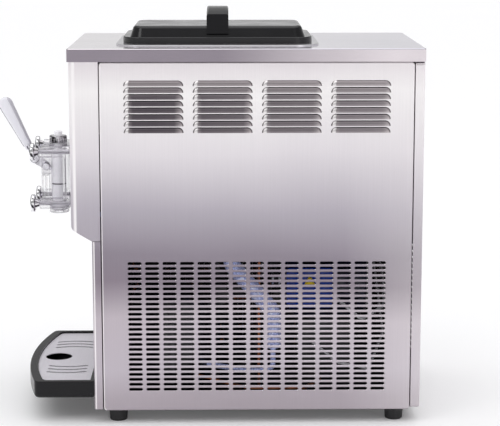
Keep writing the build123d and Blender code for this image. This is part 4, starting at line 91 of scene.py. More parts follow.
class Surface:
    """One procedural material, built up from noise, ramps and bumps laid out in metres."""

    def __init__(self, name, **settings):
        self.material = bpy.data.materials.new(name)
        self.material.use_nodes = True
        self.nodes = self.material.node_tree.nodes
        self.links = self.material.node_tree.links
        self.shader = self.nodes["Principled BSDF"]
        self.place = self.nodes.new("ShaderNodeTexCoord").outputs["Object"]
        for socket, value in settings.items():
            self.shader.inputs[socket.replace("_", " ")].default_value = value

    def wire(self, output, node, socket):
        self.links.new(output, node.inputs[socket])

    def feed(self, socket, output):
        self.links.new(output, self.shader.inputs[socket])

    def scaled(self, scale):
        """The place in the object, with each axis multiplied by its own scale."""
        mapping = self.nodes.new("ShaderNodeMapping")
        mapping.inputs["Scale"].default_value = scale
        self.wire(self.place, mapping, "Vector")
        return mapping.outputs["Vector"]

    def noise(self, scale, detail=3.0, roughness=0.5, distortion=0.0):
        """Noise from 0 to 1. scale is the number of features per metre, or one number for each axis."""
        steps = scale if isinstance(scale, tuple) else (scale,) * 3
        node = self.nodes.new("ShaderNodeTexNoise")
        node.inputs["Scale"].default_value = 1.0
        node.inputs["Detail"].default_value = detail
        node.inputs["Roughness"].default_value = roughness
        node.inputs["Distortion"].default_value = distortion
        self.wire(self.scaled(steps), node, "Vector")
        return node.outputs["Fac"]

    def cells(self, scale):
        """Distance from the middle of the nearest cell. scale is the number of cells per metre."""
        node = self.nodes.new("ShaderNodeTexVoronoi")
        node.inputs["Scale"].default_value = 1.0
        self.wire(self.scaled((scale,) * 3), node, "Vector")
        return node.outputs["Distance"]

    def coordinate(self, axis, kind="Object"):
        """One coordinate of the place in metres, or of the surface normal with kind "Normal"."""
        parts = self.nodes.new("ShaderNodeSeparateXYZ")
        self.wire(self.nodes["Texture Coordinate"].outputs[kind], parts, "Vector")
        return parts.outputs[axis]

    def along(self, axis, low, high):
        """0 at the low coordinate of an axis and 1 at the high one, in metres."""
        return self.remap(self.coordinate(axis), low, high, 0.0, 1.0)

    def remap(self, value, low, high, new_low, new_high):
        """A value that runs from low to high, brought to run from new_low to new_high and held there."""
        node = self.nodes.new("ShaderNodeMapRange")
        self.wire(value, node, "Value")
        limits = {"From Min": low, "From Max": high, "To Min": new_low, "To Max": new_high}
        for socket, number in limits.items():
            node.inputs[socket].default_value = number
        return node.outputs["Result"]

    def math(self, operation, first, second=0.0):
        """One arithmetic step. Each value is an output or a number, and a step of one value has no second."""
        node = self.nodes.new("ShaderNodeMath")
        node.operation = operation
        for socket, value in zip(node.inputs, (first, second)):
            if isinstance(value, (int, float)):
                socket.default_value = value
            else:
                self.links.new(value, socket)
        return node.outputs["Value"]

    def ramp(self, value, stops):
        """A colour that runs through stops, each a share from 0 to 1 and a linear colour."""
        node = self.nodes.new("ShaderNodeValToRGB")
        set_stops(node, stops)
        self.wire(value, node, "Fac")
        return node.outputs["Color"]

    def mix(self, first, second, factor, blend="MIX"):
        """Two colours mixed. Each of the three is an output or a plain value."""
        node = self.nodes.new("ShaderNodeMix")
        node.data_type = "RGBA"
        node.blend_type = blend
        for socket, value in ((node.inputs[6], first), (node.inputs[7], second), (node.inputs[0], factor)):
            if isinstance(value, (tuple, float, int)):
                socket.default_value = value
            else:
                self.links.new(value, socket)
        return node.outputs[2]

    def shade(self, colour, value, amount):
        """colour made darker and lighter by amount, following value around its middle."""
        grey = self.remap(value, 0.25, 0.75, 1.0 - amount, 1.0 + amount)
        return self.mix(colour, grey, 1.0, "MULTIPLY")

    def bump(self, height, depth, strength=1.0):
        """Bump of a depth in metres; calls can be chained."""
        node = self.nodes.new("ShaderNodeBump")
        node.inputs["Strength"].default_value = strength
        node.inputs["Distance"].default_value = depth
        self.wire(height, node, "Height")
        taken = self.shader.inputs["Normal"].links
        if taken:
            self.wire(taken[0].from_socket, node, "Normal")
        self.feed("Normal", node.outputs["Normal"])

    def rough(self, value, low, high):
        """Roughness from low to high, following value around its middle."""
        self.feed("Roughness", self.remap(value, 0.25, 0.75, low, high))


# ---------------------------------------------------------------- materials

GRAIN = 900.0  # brush lines per metre, across the brushing
GRAIN_RUN = 6.0  # brush lines per metre, along it
BRUSH_DEPTH = 0.02 * MM

# Painted shading and reflection of the upright sheet: how its tone runs from the feet (0) to the cover (1).
SHEET_PAINTED_SHADING = (
    (0.08, rgb(180, 171, 178)),
    (0.16, rgb(193, 185, 193)),
    (0.30, rgb(190, 181, 188)),
    (0.39, rgb(141, 131, 141)),
    (0.46, rgb(144, 136, 146)),
    (0.58, rgb(178, 172, 181)),
    (0.73, rgb(224, 219, 223)),
    (0.88, rgb(246, 243, 243)),
    (0.97, rgb(226, 219, 223)),
)

LOUVRE_PITCH = 126.4 * MM  # from one group of hoods to the next
LOUVRE_FIRST = 157.4 * MM  # middle of the first group, behind the cover's front edge
HOOD_PROUD = 4.5 * MM  # how far a hood stands out from its sheet
HOOD_END = (0.30, 0.42)  # stretch over which a hood's painted highlight comes in, in pitches from its middle
HOOD_REARWARD = (-100 * MM, 360 * MM)  # the hoods' painted shade goes from dark to paler over this run
TOP_ROWS = (615 * MM, 645 * MM)  # and so does the painted shade of the top rows, over these heights

REAR_PAINTED_LIGHT = (250 * MM, 400 * MM)  # the sheet's rear edge catches more painted light over this run
FRONT_FADE = (50 * MM, 62 * MM)  # the front's extra painted light ends over this run behind the cover's front edge
FRONT_HEIGHTS = (352 * MM, 460 * MM)  # and goes from full to none over these heights of the upper panel


def painted_hood_shading(s, tone):
    """Painted reflection and shade on the louvre hoods, which turn to darker walls of the studio: painted
    shade dark at the crease, painted light at their ends.
    """
    clear_of_sheet = hoods_out - HOOD_PROUD + 0.1 * MM
    proud = s.remap(s.math("ABSOLUTE", s.coordinate("X")), clear_of_sheet, hoods_out, 0.0, 1.0)
    groups = s.math("DIVIDE", s.math("SUBTRACT", s.coordinate("Y"), cover_low.y + LOUVRE_FIRST), LOUVRE_PITCH)
    past_middle = s.math("SUBTRACT", s.math("FRACT", s.math("ADD", groups, 0.5)), 0.5)
    end_painted_light = s.remap(s.math("ABSOLUTE", past_middle), *HOOD_END, 0.0, 0.75)
    row_painted_light = s.remap(s.coordinate("Z"), *TOP_ROWS, 0.0, 0.6)
    # painted reflection: darker walls of the studio in the hood's body
    body = s.mix(rgb(104, 97, 103), rgb(168, 160, 164), s.along("Y", *HOOD_REARWARD))
    body = s.mix(body, rgb(206, 197, 199), s.math("MAXIMUM", end_painted_light, row_painted_light))
    # painted shade: dark at the crease where the hood leaves the sheet
    body = s.mix(rgb(58, 52, 58), body, s.remap(proud, 0.35, 0.72, 0.0, 1.0))
    return s.mix(tone, body, s.remap(proud, 0.0, 0.12, 0.0, 1.0))


def painted_bend_highlight(s, tone):
    """A painted highlight: a bright line on the rounded front edges of the sheet, keyed to which way they
    face.
    """
    # painted highlight, strongest where the bend half faces forward
    forward = s.math("MULTIPLY", s.coordinate("Y", "Normal"), -1.0)
    glint = s.ramp(forward, ((0.03, rgb(0, 0, 0)), (0.12, rgb(255, 255, 255)), (0.34, rgb(255, 255, 255)),
                             (0.60, rgb(90, 90, 90)), (0.95, rgb(0, 0, 0))))
    return s.mix(tone, rgb(255, 252, 252), s.math("MULTIPLY", glint, 0.8))


def upright_steel(name):
    """Brushed stainless sheet with upright grain, and the slow tones of a studio painted into its colour as
    painted shading and painted reflection.
    """
    s = Surface(name, Metallic=1.0, Anisotropic=0.35)
    cloud = s.noise(2.2, detail=2.0)
    height = s.along("Z", cad_low.z, cover_high.z)
    shifted = s.math("ADD", height, s.remap(cloud, 0.3, 0.7, -0.025, 0.025))
    # painted shading and reflection up the sheet's height
    tone = s.ramp(shifted, SHEET_PAINTED_SHADING)
    # painted light: the sheet turns paler towards its rear edge
    rear_painted_light = s.along("Y", *REAR_PAINTED_LIGHT)
    tone = s.mix(tone, rgb(243, 238, 239), s.math("MULTIPLY", rear_painted_light, 0.30))
    # painted light on the upper front panel near its front edge
    fade_from, fade_to = (cover_low.y + run for run in FRONT_FADE)
    painted_front_light = s.remap(s.coordinate("Y"), fade_from, fade_to, 0.30, 0.0)
    low_part = s.remap(s.coordinate("Z"), *FRONT_HEIGHTS, 1.0, 0.0)
    upper_only = s.math("GREATER_THAN", s.coordinate("Z"), upper_front_low - 0.5 * MM)
    painted_front_lift = s.math("MULTIPLY", s.math("MULTIPLY", painted_front_light, low_part), upper_only)
    tone = s.mix(tone, rgb(212, 207, 214), painted_front_lift)
    # painted shading on the hoods, then a painted highlight on the bends
    tone = painted_bend_highlight(s, painted_hood_shading(s, tone))
    lines = s.noise((GRAIN, GRAIN, GRAIN_RUN), detail=4.0, roughness=0.6)
    tone = s.shade(tone, lines, 0.035)
    s.feed("Base Color", s.shade(tone, cloud, 0.02))
    s.rough(lines, 0.30, 0.42)
    s.bump(lines, BRUSH_DEPTH, 0.35)
    return s.material


def flat_steel(name, colour, low=0.16, high=0.26, grain=(GRAIN, GRAIN_RUN, GRAIN), strength=0.25, metal=1.0):
    """Brushed or satin stainless of one tone, with its grain along one axis."""
    s = Surface(name, Metallic=metal)
    lines = s.noise(grain, detail=4.0, roughness=0.6)
    cloud = s.noise(9.0, detail=3.0)
    s.feed("Base Color", s.shade(s.shade(colour, lines, 0.04), cloud, 0.03))
    s.rough(lines, low, high)
    s.bump(lines, BRUSH_DEPTH, strength)
    return s.material


LIP_RUN = (20 * MM, 340 * MM)  # the cover's lip has painted shade that turns from grey to pale over this run
TOP_RUN = (-200 * MM, 350 * MM)  # and the top's painted reflection turns a little cooler over this one
COVER_SKIN = 1.6 * MM  # what lies less than this under the cover's top counts as top


def cover_steel(name):
    """The cover: pale satin on top with a painted reflection, and painted shade on the lip, which runs from
    grey at the front to pale at the rear.
    """
    s = Surface(name, Metallic=1.0)
    lines = s.noise((GRAIN, GRAIN_RUN, GRAIN), detail=4.0, roughness=0.6)
    cloud = s.noise(9.0, detail=3.0)
    lip = s.mix(rgb(146, 138, 147), rgb(226, 218, 222), s.along("Y", *LIP_RUN))
    top = s.mix(rgb(230, 225, 229), rgb(214, 210, 221), s.along("Y", *TOP_RUN))
    # painted shade: the lip darker than the top of the same steel
    tone = s.mix(lip, top, s.math("GREATER_THAN", s.coordinate("Z"), cover_high.z - COVER_SKIN))
    s.feed("Base Color", s.shade(s.shade(tone, lines, 0.04), cloud, 0.03))
    s.rough(lines, 0.12, 0.22)
    s.bump(lines, BRUSH_DEPTH, 0.25)
    return s.material


CHROME_LEAN = 0.6  # in the painted reflection, how much the rear and front count next to up and down
CHROME_REACH = 1.15  # nearly the longest that the two together get


def chrome(name, light, dark):
    """Polished chrome with a painted reflection of a bright studio with dark sides: painted light above and
    painted dark below each rounding.
    """
    s = Surface(name, Metallic=1.0)
    marks = s.noise(60.0, detail=6.0, roughness=0.7)
    rearward = s.math("MULTIPLY", s.coordinate("Y", "Normal"), CHROME_LEAN)
    lean = s.math("ADD", s.coordinate("Z", "Normal"), rearward)
    tilt = s.remap(lean, -CHROME_REACH, CHROME_REACH, 0.0, 1.0)
    tilt = s.math("ADD", tilt, s.remap(marks, 0.3, 0.7, -0.05, 0.05))
    # painted reflection bands, keyed to which way the surface faces
    colour = s.ramp(tilt, ((0.04, dark), (0.12, light), (0.28, light), (0.33, dark), (0.43, dark),
                           (0.52, light), (0.70, light), (0.78, dark), (0.86, light)))
    s.feed("Base Color", s.shade(colour, marks, 0.05))
    s.rough(marks, 0.05, 0.12)
    s.bump(marks, 0.03 * MM, 0.15)
    return s.material


def bright_metal(name, colour, roughness=0.12, scuffs=60.0):
    """Polished metal with faint handling marks."""
    s = Surface(name, Metallic=1.0)
    marks = s.noise(scuffs, detail=6.0, roughness=0.7)
    s.feed("Base Color", s.shade(colour, marks, 0.05))
    s.rough(marks, roughness * 0.7, roughness * 1.6)
    s.bump(marks, 0.03 * MM, 0.15)
    return s.material


def moulded(name, colour, roughness=0.3, grain=1800.0, depth=0.03, vary=0.06, **settings):
    """Moulded plastic or rubber: a fine skin over slow changes of tone and gloss."""
    s = Surface(name, **settings)
    skin = s.noise(grain, detail=2.0)
    slow = s.noise(14.0, detail=4.0, roughness=0.6)
    s.feed("Base Color", s.shade(s.shade(colour, slow, vary), skin, vary * 0.4))
    s.rough(slow, roughness * 0.8, roughness * 1.25)
    s.bump(skin, depth * MM, 0.3)
    return s.material


def enamel(name, colour, roughness=0.22):
    """Sprayed enamel with a little orange peel."""
    s = Surface(name, Coat_Weight=0.4, Coat_Roughness=0.1)
    peel = s.noise(420.0, detail=2.0)
    slow = s.noise(18.0, detail=4.0)
    s.feed("Base Color", s.shade(colour, slow, 0.10))
    s.rough(slow, roughness * 0.8, roughness * 1.4)
    s.bump(peel, 0.06 * MM, 0.35)
    return s.material


def clear_plastic(name):
    """Clear moulded plastic: see-through where it faces the eye, milkier along its edges, with painted shade
    that darkens them.
    """
    s = Surface(name, IOR=1.5, Coat_Weight=1.0, Coat_Roughness=0.03)
    flow = s.noise((30.0, 30.0, 90.0), detail=3.0, distortion=0.6)
    facing = s.nodes.new("ShaderNodeLayerWeight")
    facing.inputs["Blend"].default_value = 0.5
    edge = facing.outputs["Facing"]
    s.feed("Alpha", s.remap(edge, 0.40, 0.95, 0.15, 0.85))
    # painted shade: the colour darkens as the surface turns edge-on
    colour = s.ramp(edge, ((0.25, rgb(226, 222, 232)), (0.60, rgb(176, 171, 184)), (0.92, rgb(92, 88, 100))))
    s.feed("Base Color", s.shade(colour, flow, 0.03))
    s.rough(flow, 0.03, 0.09)
    s.bump(flow, 0.05 * MM, 0.2)
    return s.material


def cast_metal(name, colour):
    """A sand casting with a gritty skin."""
    s = Surface(name, Metallic=0.6)
    grit = s.noise(700.0, detail=4.0, roughness=0.7)
    slow = s.noise(20.0, detail=4.0)
    s.feed("Base Color", s.shade(s.shade(colour, slow, 0.12), grit, 0.12))
    s.rough(grit, 0.45, 0.7)
    s.bump(grit, 0.25 * MM, 0.6)
    return s.material


def copper_tube(name):
    """Drawn copper, bright in places and tarnished in others."""
    s = Surface(name, Metallic=1.0)
    tarnish = s.noise(26.0, detail=6.0, roughness=0.65)
    colour = s.ramp(tarnish, ((0.35, rgb(196, 112, 74)), (0.52, rgb(214, 138, 96)), (0.68, rgb(150, 84, 60))))
    s.feed("Base Color", colour)
    s.rough(tarnish, 0.20, 0.45)
    s.bump(tarnish, 0.05 * MM, 0.3)
    return s.material


def foil_wrap(name):
    """Crumpled foil over a wrapped pipe: sharp facets, with a painted bluish light that keeps it cool and lit
    where it turns away.
    """
    # the emission is painted light; the foil is no lamp
    s = Surface(name, Metallic=0.85, Emission_Color=(0.45, 0.5, 0.85, 1.0), Emission_Strength=0.18)
    folds = s.cells(140.0)
    crumple = s.noise(90.0, detail=6.0, roughness=0.7, distortion=1.2)
    colour = s.ramp(crumple, ((0.36, rgb(92, 102, 160)), (0.50, rgb(176, 184, 226)),
                              (0.64, rgb(236, 238, 250))))
    s.feed("Base Color", colour)
    s.rough(crumple, 0.18, 0.4)
    s.bump(folds, 1.2 * MM, 0.7)
    s.bump(crumple, 1.5 * MM, 0.7)
    return s.material


def foam(name, colour):
    """Open foam with fine pores."""
    s = Surface(name, Roughness=0.9)
    pores = s.cells(500.0)
    slow = s.noise(25.0, detail=4.0)
    s.feed("Base Color", s.shade(s.shade(colour, slow, 0.2), pores, 0.15))
    s.bump(pores, 0.6 * MM, 0.7)
    return s.material


def finned(name):
    """The edges of a close stack of thin fins, some of them bent."""
    s = Surface(name, Metallic=0.9)
    bends = s.noise((40.0, 120.0, 60.0), detail=4.0, roughness=0.6)
    s.feed("Base Color", s.shade(rgb(178, 180, 184), bends, 0.18))
    s.rough(bends, 0.3, 0.55)
    s.bump(bends, 0.5 * MM, 0.4)
    return s.material


MATERIALS = {
    "sheet_steel": upright_steel("sheet_steel"),
    "cover_steel": cover_steel("cover_steel"),
    "tub_steel": flat_steel("tub_steel", rgb(214, 212, 216), 0.18, 0.3),
    "plate_steel": flat_steel("plate_steel", rgb(240, 237, 244), 0.3, 0.42, (GRAIN_RUN, GRAIN, GRAIN),
                              metal=0.35),
    # the two tones of each chrome are the light and dark of its painted reflection
    "nut_chrome": chrome("nut_chrome", rgb(250, 250, 252), rgb(46, 44, 48)),
    "lever_steel": chrome("lever_steel", rgb(222, 220, 226), rgb(72, 70, 76)),
    "ring_chrome": chrome("ring_chrome", rgb(200, 198, 202), rgb(8, 8, 9)),
    "gear_steel": bright_metal("gear_steel", rgb(176, 176, 182), 0.22, 200.0),
    "screw_steel": bright_metal("screw_steel", rgb(196, 194, 200), 0.2),
    "lid_black": moulded("lid_black", rgb(15, 14, 18), 0.2, Specular_IOR_Level=0.5),
    "tray_black": moulded("tray_black", rgb(12, 11, 15), 0.24, Specular_IOR_Level=0.3),
    "clear_head": clear_plastic("clear_head"),
    # the white parts' emission is painted light, standing in for light lost behind the clear head
    "valve_white": moulded("valve_white", rgb(244, 243, 248), 0.25, Emission_Color=(1.0, 1.0, 1.0, 1.0),
                           Emission_Strength=0.2),
    "grip_white": moulded("grip_white", rgb(244, 243, 250), 0.16, 900.0, vary=0.02),
    "grip_grey": moulded("grip_grey", rgb(204, 201, 211), 0.2, 900.0, vary=0.03),
    # painted shade for the grip's front edge, where it turns away
    "grip_painted_edge_shade": moulded("grip_painted_edge_shade", rgb(138, 134, 144), 0.2, 900.0, vary=0.03),
    "filter_black": foam("filter_black", rgb(20, 20, 22)),
    "sign_yellow": moulded("sign_yellow", rgb(236, 204, 24), 0.35, 900.0),
    "rubber": moulded("rubber", rgb(30, 29, 31), 0.6, 900.0, 0.12, 0.12),
    # dark_sheet and deck_sheet are darkened past bare sheet metal as painted shade for the dim inside of the
    # machine
    "dark_sheet": enamel("dark_sheet", rgb(26, 26, 29), 0.4),
    "deck_sheet": flat_steel("deck_sheet", rgb(60, 60, 64), 0.4, 0.6),
    "foam": foam("foam", rgb(38, 38, 42)),
    "motor_blue": enamel("motor_blue", rgb(10, 48, 150)),
    "motor_navy": enamel("motor_navy", rgb(8, 18, 52)),
    "compressor_black": enamel("compressor_black", rgb(24, 24, 27)),
    "fins": finned("fins"),
    "copper": copper_tube("copper"),
    "foil": foil_wrap("foil"),
    "cast_grey": cast_metal("cast_grey", rgb(96, 99, 104)),
    "belt_rubber": moulded("belt_rubber", rgb(28, 28, 30), 0.7, 700.0, 0.2, 0.15),
    "fan_plastic": moulded("fan_plastic", rgb(40, 40, 44), 0.45),
    "bezel": moulded("bezel", rgb(34, 34, 38), 0.14),
    "display": moulded("display", rgb(8, 12, 20), 0.06, 300.0, 0.01),
    "button": moulded("button", rgb(212, 213, 218), 0.3),
    "wire": moulded("wire", rgb(206, 206, 210), 0.45, 600.0),
    "gland_black": moulded("gland_black", rgb(32, 32, 34), 0.5, 900.0, 0.08),
}

NODES_OF = {
    "sheet_steel": ("right_side_panel", "left_side_panel", "rear_panel", "front_upper_panel",
                    "front_lower_panel"),
    "cover_steel": ("top_cover",),
    "tub_steel": ("hopper", "freezing_barrel", "beater"),
    "plate_steel": ("drip_plate",),
    "nut_chrome": ("thumb_nut_1", "thumb_nut_2", "thumb_nut_3", "thumb_nut_4"),
    "ring_chrome": ("neck_nut",),
    "lever_steel": ("lever_arm", "pivot_pin", "head_studs"),
    "gear_steel": ("output_gear", "pinion_shaft", "motor_pulley"),
    "screw_steel": ("panel_screws",),
    "lid_black": ("hopper_lid",),
    "tray_black": ("drip_tray",),
    "clear_head": ("head_body", "spout_cap"),
    "valve_white": ("piston", "feed_tube"),
    "grip_white": ("lever_grip",),
    "rubber": ("rubber_feet", "head_seal", "piston_seals"),
    "dark_sheet": ("base_pan", "frame", "motor_stand", "fan_shroud", "fan_motor", "electrical_box"),
    "deck_sheet": ("mid_deck",),
    "foam": ("barrel_insulation",),
    "motor_blue": ("motor_terminal_box",),
    "motor_navy": ("motor_housing",),
    "compressor_black": ("compressor_shell",),
    "fins": ("condenser_fins",),
    "copper": ("condenser_tubes", "copper_lines", "filter_drier"),
    "foil": ("suction_line",),
    "cast_grey": ("gearbox_housing", "gearbox_cover", "driven_pulley"),
    "belt_rubber": ("drive_belt",),
    "fan_plastic": ("fan_blade",),
    "bezel": ("control_bezel",),
    "display": ("display_window",),
    "button": ("push_button_1", "push_button_2", "push_button_3"),
    "wire": ("wiring_harness",),
    "gland_black": ("cable_gland",),
}

for kind, members in NODES_OF.items():
    for member in members:
        slots = nodes[member].data.materials
        slots.clear()
        slots.append(MATERIALS[kind])


# ---------------------------------------------------------------- sculpted pieces


def new_piece(name, work, materials, smooth=True):
    """The mesh being worked on, finished as an object of its own."""
    mesh = bpy.data.meshes.new(name)
    bmesh.ops.recalc_face_normals(work, faces=work.faces)
    for face in work.faces:
        face.smooth = smooth
    work.to_mesh(mesh)
    work.free()
    for material in materials:
        mesh.materials.append(material)
    piece = bpy.data.objects.new(name, mesh)
    bpy.context.scene.collection.objects.link(piece)
    return piece


def wall(work, first, second):
    """Faces between two closed rings of equally many corners."""
    for point in range(len(first)):
        after = (point + 1) % len(first)
        work.faces.new((first[point], first[after], second[after], second[point]))


GRIP_LEAN = math.radians(27.1)
GRIP_ROUND = 48  # points round half of the grip's section
GRIP_STEPS = 40  # sections along its straight part
GRIP_CAP = 16  # sections over its rounded end
GRIP_FOOT_STEPS = 3
GRIP_FOOT = 2 * MM  # height of its rounded foot
GRIP_FOOT_IN = 2.5 * MM  # how far the foot draws in
GRIP_NEAR_FOOT = 6 * MM  # the narrow width is measured up to here
GRIP_FOOT_THICK = 0.86  # share of the full thickness at the foot
GRIP_FOOT_THICKENS = 0.035  # what each section of the foot adds
GRIP_BODY_THICK = 0.97  # share of the full thickness where the straight part starts
GRIP_SQUARE = 0.62  # power that makes a rounded slab of a circle; 1 would leave it round
GRIP_CAP_THIN = 0.45  # power by which the end thins
SEAM = 0.58  # where the back strip starts, as a share of the half width
SEAM_WIDTH = 0.05  # as a share of the half width
SEAM_DEPTH = 0.7 * MM
SEAM_LEAST = 2 * MM  # the seam is left out where the grip is thinner than this
FRONT_STRIP = 1.8 * MM  # width of the painted shade strip on its front edge


def grip_sections(foot, tip, narrow, wide):
    """The grip from foot to tip, as heights, half widths and shares of the full thickness."""
    shoulder = tip - wide
    straight = foot + GRIP_FOOT
    full_rise = math.sin(GRIP_FOOT_STEPS * math.pi / 8)
    for step in range(GRIP_FOOT_STEPS + 1):
        rise = math.sin(step * math.pi / 8)
        yield (foot + GRIP_FOOT * rise / full_rise, narrow - GRIP_FOOT_IN * (1 - rise),
               GRIP_FOOT_THICK + GRIP_FOOT_THICKENS * step)
    for step in range(1, GRIP_STEPS + 1):
        share = step / GRIP_STEPS
        yield (straight + share * (shoulder - straight), narrow + share * (wide - narrow),
               GRIP_BODY_THICK + (1 - GRIP_BODY_THICK) * share)
    for step in range(1, GRIP_CAP):
        turn = step / GRIP_CAP * math.pi / 2
        yield shoulder + wide * math.sin(turn), wide * math.cos(turn), math.cos(turn) ** GRIP_CAP_THIN


def slab(share):
    """A cosine or sine pushed outward, which turns a circle into a rounded slab."""
    return math.copysign(abs(share) ** GRIP_SQUARE, share)


def grip_outline(half, thick, seam_share):
    """Points round one section: across the grip and through it, with the seam cut in."""
    for point in range(2 * GRIP_ROUND):
        turn = math.pi * point / GRIP_ROUND
        side, through = half * slab(math.cos(turn)), thick * slab(math.sin(turn))
        if abs(through) > SEAM_LEAST:
            seam = math.exp(-((side / half - SEAM) / SEAM_WIDTH) ** 2) * seam_share
            through -= math.copysign(SEAM_DEPTH * seam, through)
        yield side, through


def make_grip():
    """The lever's paddle: a tapered moulding with a seam, a pale face, a greyer back strip and painted shade
    along its front edge.
    """
    across = Vector((0.0, math.cos(GRIP_LEAN), math.sin(GRIP_LEAN)))
    upward = Vector((0.0, -math.sin(GRIP_LEAN), math.cos(GRIP_LEAN)))
    corners = [vertex.co for vertex in nodes["lever_grip"].data.vertices]
    sides = [corner.dot(across) for corner in corners]
    heights = [corner.dot(upward) for corner in corners]
    thick = max(corner.x for corner in corners)
    foot, tip = min(heights), max(heights)
    middle = (min(sides) + max(sides)) / 2
    wide = (max(sides) - min(sides)) / 2
    narrow = max(abs(side - middle) for side, height in zip(sides, heights) if height < foot + GRIP_NEAR_FOOT)
    work = bmesh.new()
    rings = []
    for height, half, depth in grip_sections(foot, tip, narrow, wide):
        outline = grip_outline(half, thick * depth, min(1.0, half / narrow))
        rings.append([work.verts.new(across * (middle + side) + upward * height + Vector((through, 0.0, 0.0)))
                      for side, through in outline])
    for lower, upper in zip(rings, rings[1:]):
        wall(work, lower, upper)
    work.faces.new(rings[0])
    peak = work.verts.new(across * middle + upward * tip)
    last = rings[-1]
    for corner, after in zip(last, last[1:] + last[:1]):
        work.faces.new((corner, after, peak))
    for face in work.faces:
        heart = face.calc_center_median()
        side = heart.dot(across) - middle
        reach = narrow + (wide - narrow) * (heart.dot(upward) - foot) / (tip - wide - foot)
        if side > SEAM * reach:
            face.material_index = 1
        # painted shade on the strip along the front edge
        elif side < -reach + FRONT_STRIP:
            face.material_index = 2
    finishes = [MATERIALS[kind] for kind in ("grip_white", "grip_grey", "grip_painted_edge_shade")]
    grip = new_piece("grip_moulding", work, finishes)
    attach(grip, "lever")
    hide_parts("lever_grip")


SIGN_WIDTH = 24 * MM
SIGN_HEIGHT = 21 * MM
SIGN_THICK = 0.8 * MM
SIGN_SUNK = 0.3 * MM  # its back goes this far into the box's skin
SIGN_RAISE = 11 * MM  # above the middle of the box
SIGN_CORNER = 2.5 * MM
SIGN_CORNER_STEPS = 4  # points on each side of a corner's middle


def make_sign():
    """A plain yellow triangle with rounded corners on the outside of the motor's terminal box."""
    box_low, box_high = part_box("motor_terminal_box")
    centre_y = (box_low.y + box_high.y) / 2
    centre_z = (box_low.z + box_high.z) / 2 + SIGN_RAISE
    half, third = SIGN_WIDTH / 2, SIGN_HEIGHT / 3
    tips = ((-half, -third), (half, -third), (0.0, 2 * third))
    outline = []
    for tip in tips:
        inward = -Vector(tip).normalized()
        heart = Vector(tip) + inward * 2 * SIGN_CORNER
        middle = math.atan2(-inward.y, -inward.x)
        for step in range(-SIGN_CORNER_STEPS, SIGN_CORNER_STEPS + 1):
            turn = middle + step / SIGN_CORNER_STEPS * math.pi / 3
            outline.append((centre_y + heart.x + SIGN_CORNER * math.cos(turn),
                            centre_z + heart.y + SIGN_CORNER * math.sin(turn)))
    work = bmesh.new()
    back, front = ([work.verts.new((x, y, z)) for y, z in outline]
                   for x in (box_high.x - SIGN_SUNK, box_high.x + SIGN_THICK))
    work.faces.new(back)
    work.faces.new(front)
    wall(work, back, front)
    sign = new_piece("terminal_sign", work, [MATERIALS["sign_yellow"]])
    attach(sign, "root")


PLEAT = 7 * MM
PLEAT_DEPTH = 5 * MM
FILTER_GAP = 3 * MM  # between the left panel's sheet and the filter
FILTER_INSET = 24 * MM  # from the panel's front and rear edges
FILTER_BELOW = 2 * MM  # past the condenser's fins
FILTER_ABOVE = 6 * MM
RIM_BEVEL = 0.8 * MM


def make_rim(work, start_x, end_x, front, rear, bottom, top):
    """Four bars round the filter's pleats, as wide as the pleats are deep."""
    rim = PLEAT_DEPTH
    for low_y, high_y, low_z, high_z in (
            (front - rim, rear + rim, bottom - rim, bottom), (front - rim, rear + rim, top, top + rim),
            (front - rim, front, bottom, top), (rear, rear + rim, bottom, top)):
        corners = [work.verts.new((x, y, z)) for x in (start_x, end_x)
                   for y in (low_y, high_y) for z in (low_z, high_z)]
        made = bmesh.ops.convex_hull(work, input=corners)
        edges = [item for item in made["geom"] if isinstance(item, bmesh.types.BMEdge)]
        bmesh.ops.bevel(work, geom=edges, offset=RIM_BEVEL, segments=2, affect="EDGES")


def make_filter():
    """A pleated black air filter in a thin rim, between the condenser and the left panel's slots."""
    side_low, side_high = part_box("left_side_panel")
    core_low, core_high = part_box("condenser_fins")
    outer = side_low.x + HOOD_PROUD + FILTER_GAP
    front, rear = side_low.y + FILTER_INSET, side_high.y - FILTER_INSET
    bottom, top = core_low.z - FILTER_BELOW, core_high.z + FILTER_ABOVE
    folds = 2 * int((rear - front) / PLEAT)
    work = bmesh.new()
    lines = []
    for fold in range(folds + 1):
        y = front + (rear - front) * fold / folds
        x = outer + (PLEAT_DEPTH if fold % 2 else 0.0)
        lines.append((work.verts.new((x, y, bottom)), work.verts.new((x, y, top))))
    for first, second in zip(lines, lines[1:]):
        work.faces.new((first[0], second[0], second[1], first[1]))
    make_rim(work, outer - MM, outer + PLEAT_DEPTH + MM, front, rear, bottom, top)
    air_filter = new_piece("air_filter", work, [MATERIALS["filter_black"]], smooth=False)
    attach(air_filter, "root")


make_grip()
make_sign()
make_filter()

# ---------------------------------------------------------------- floor, light and camera

FLOOR_RADIUS = 40.0

# How bright the studio's surround is, from the horizon and all under it (0) to straight overhead (1).
SURROUND = ((0.0, 0.92), (0.10, 0.80), (0.24, 0.30), (0.58, 0.30), (0.80, 1.3), (1.0, 1.6))
SURROUND_STRENGTH = 1.1
SURROUND_BLUE = 1.005  # a trace of blue in its grey


def make_floor():
    """A wide pale disc under the feet."""
    mesh = bpy.data.meshes.new("floor")
    work = bmesh.new()
    bmesh.ops.create_circle(work, cap_ends=True, radius=FLOOR_RADIUS, segments=96)
    work.to_mesh(mesh)
    work.free()
    floor = bpy.data.objects.new("floor", mesh)
    bpy.context.scene.collection.objects.link(floor)
    s = Surface("floor_pale", Roughness=0.8, Emission_Color=(1.0, 1.0, 1.0, 1.0), Emission_Strength=0.08)
    s.feed("Base Color", s.shade(rgb(250, 250, 251), s.noise(3.0), 0.006))
    mesh.materials.append(s.material)


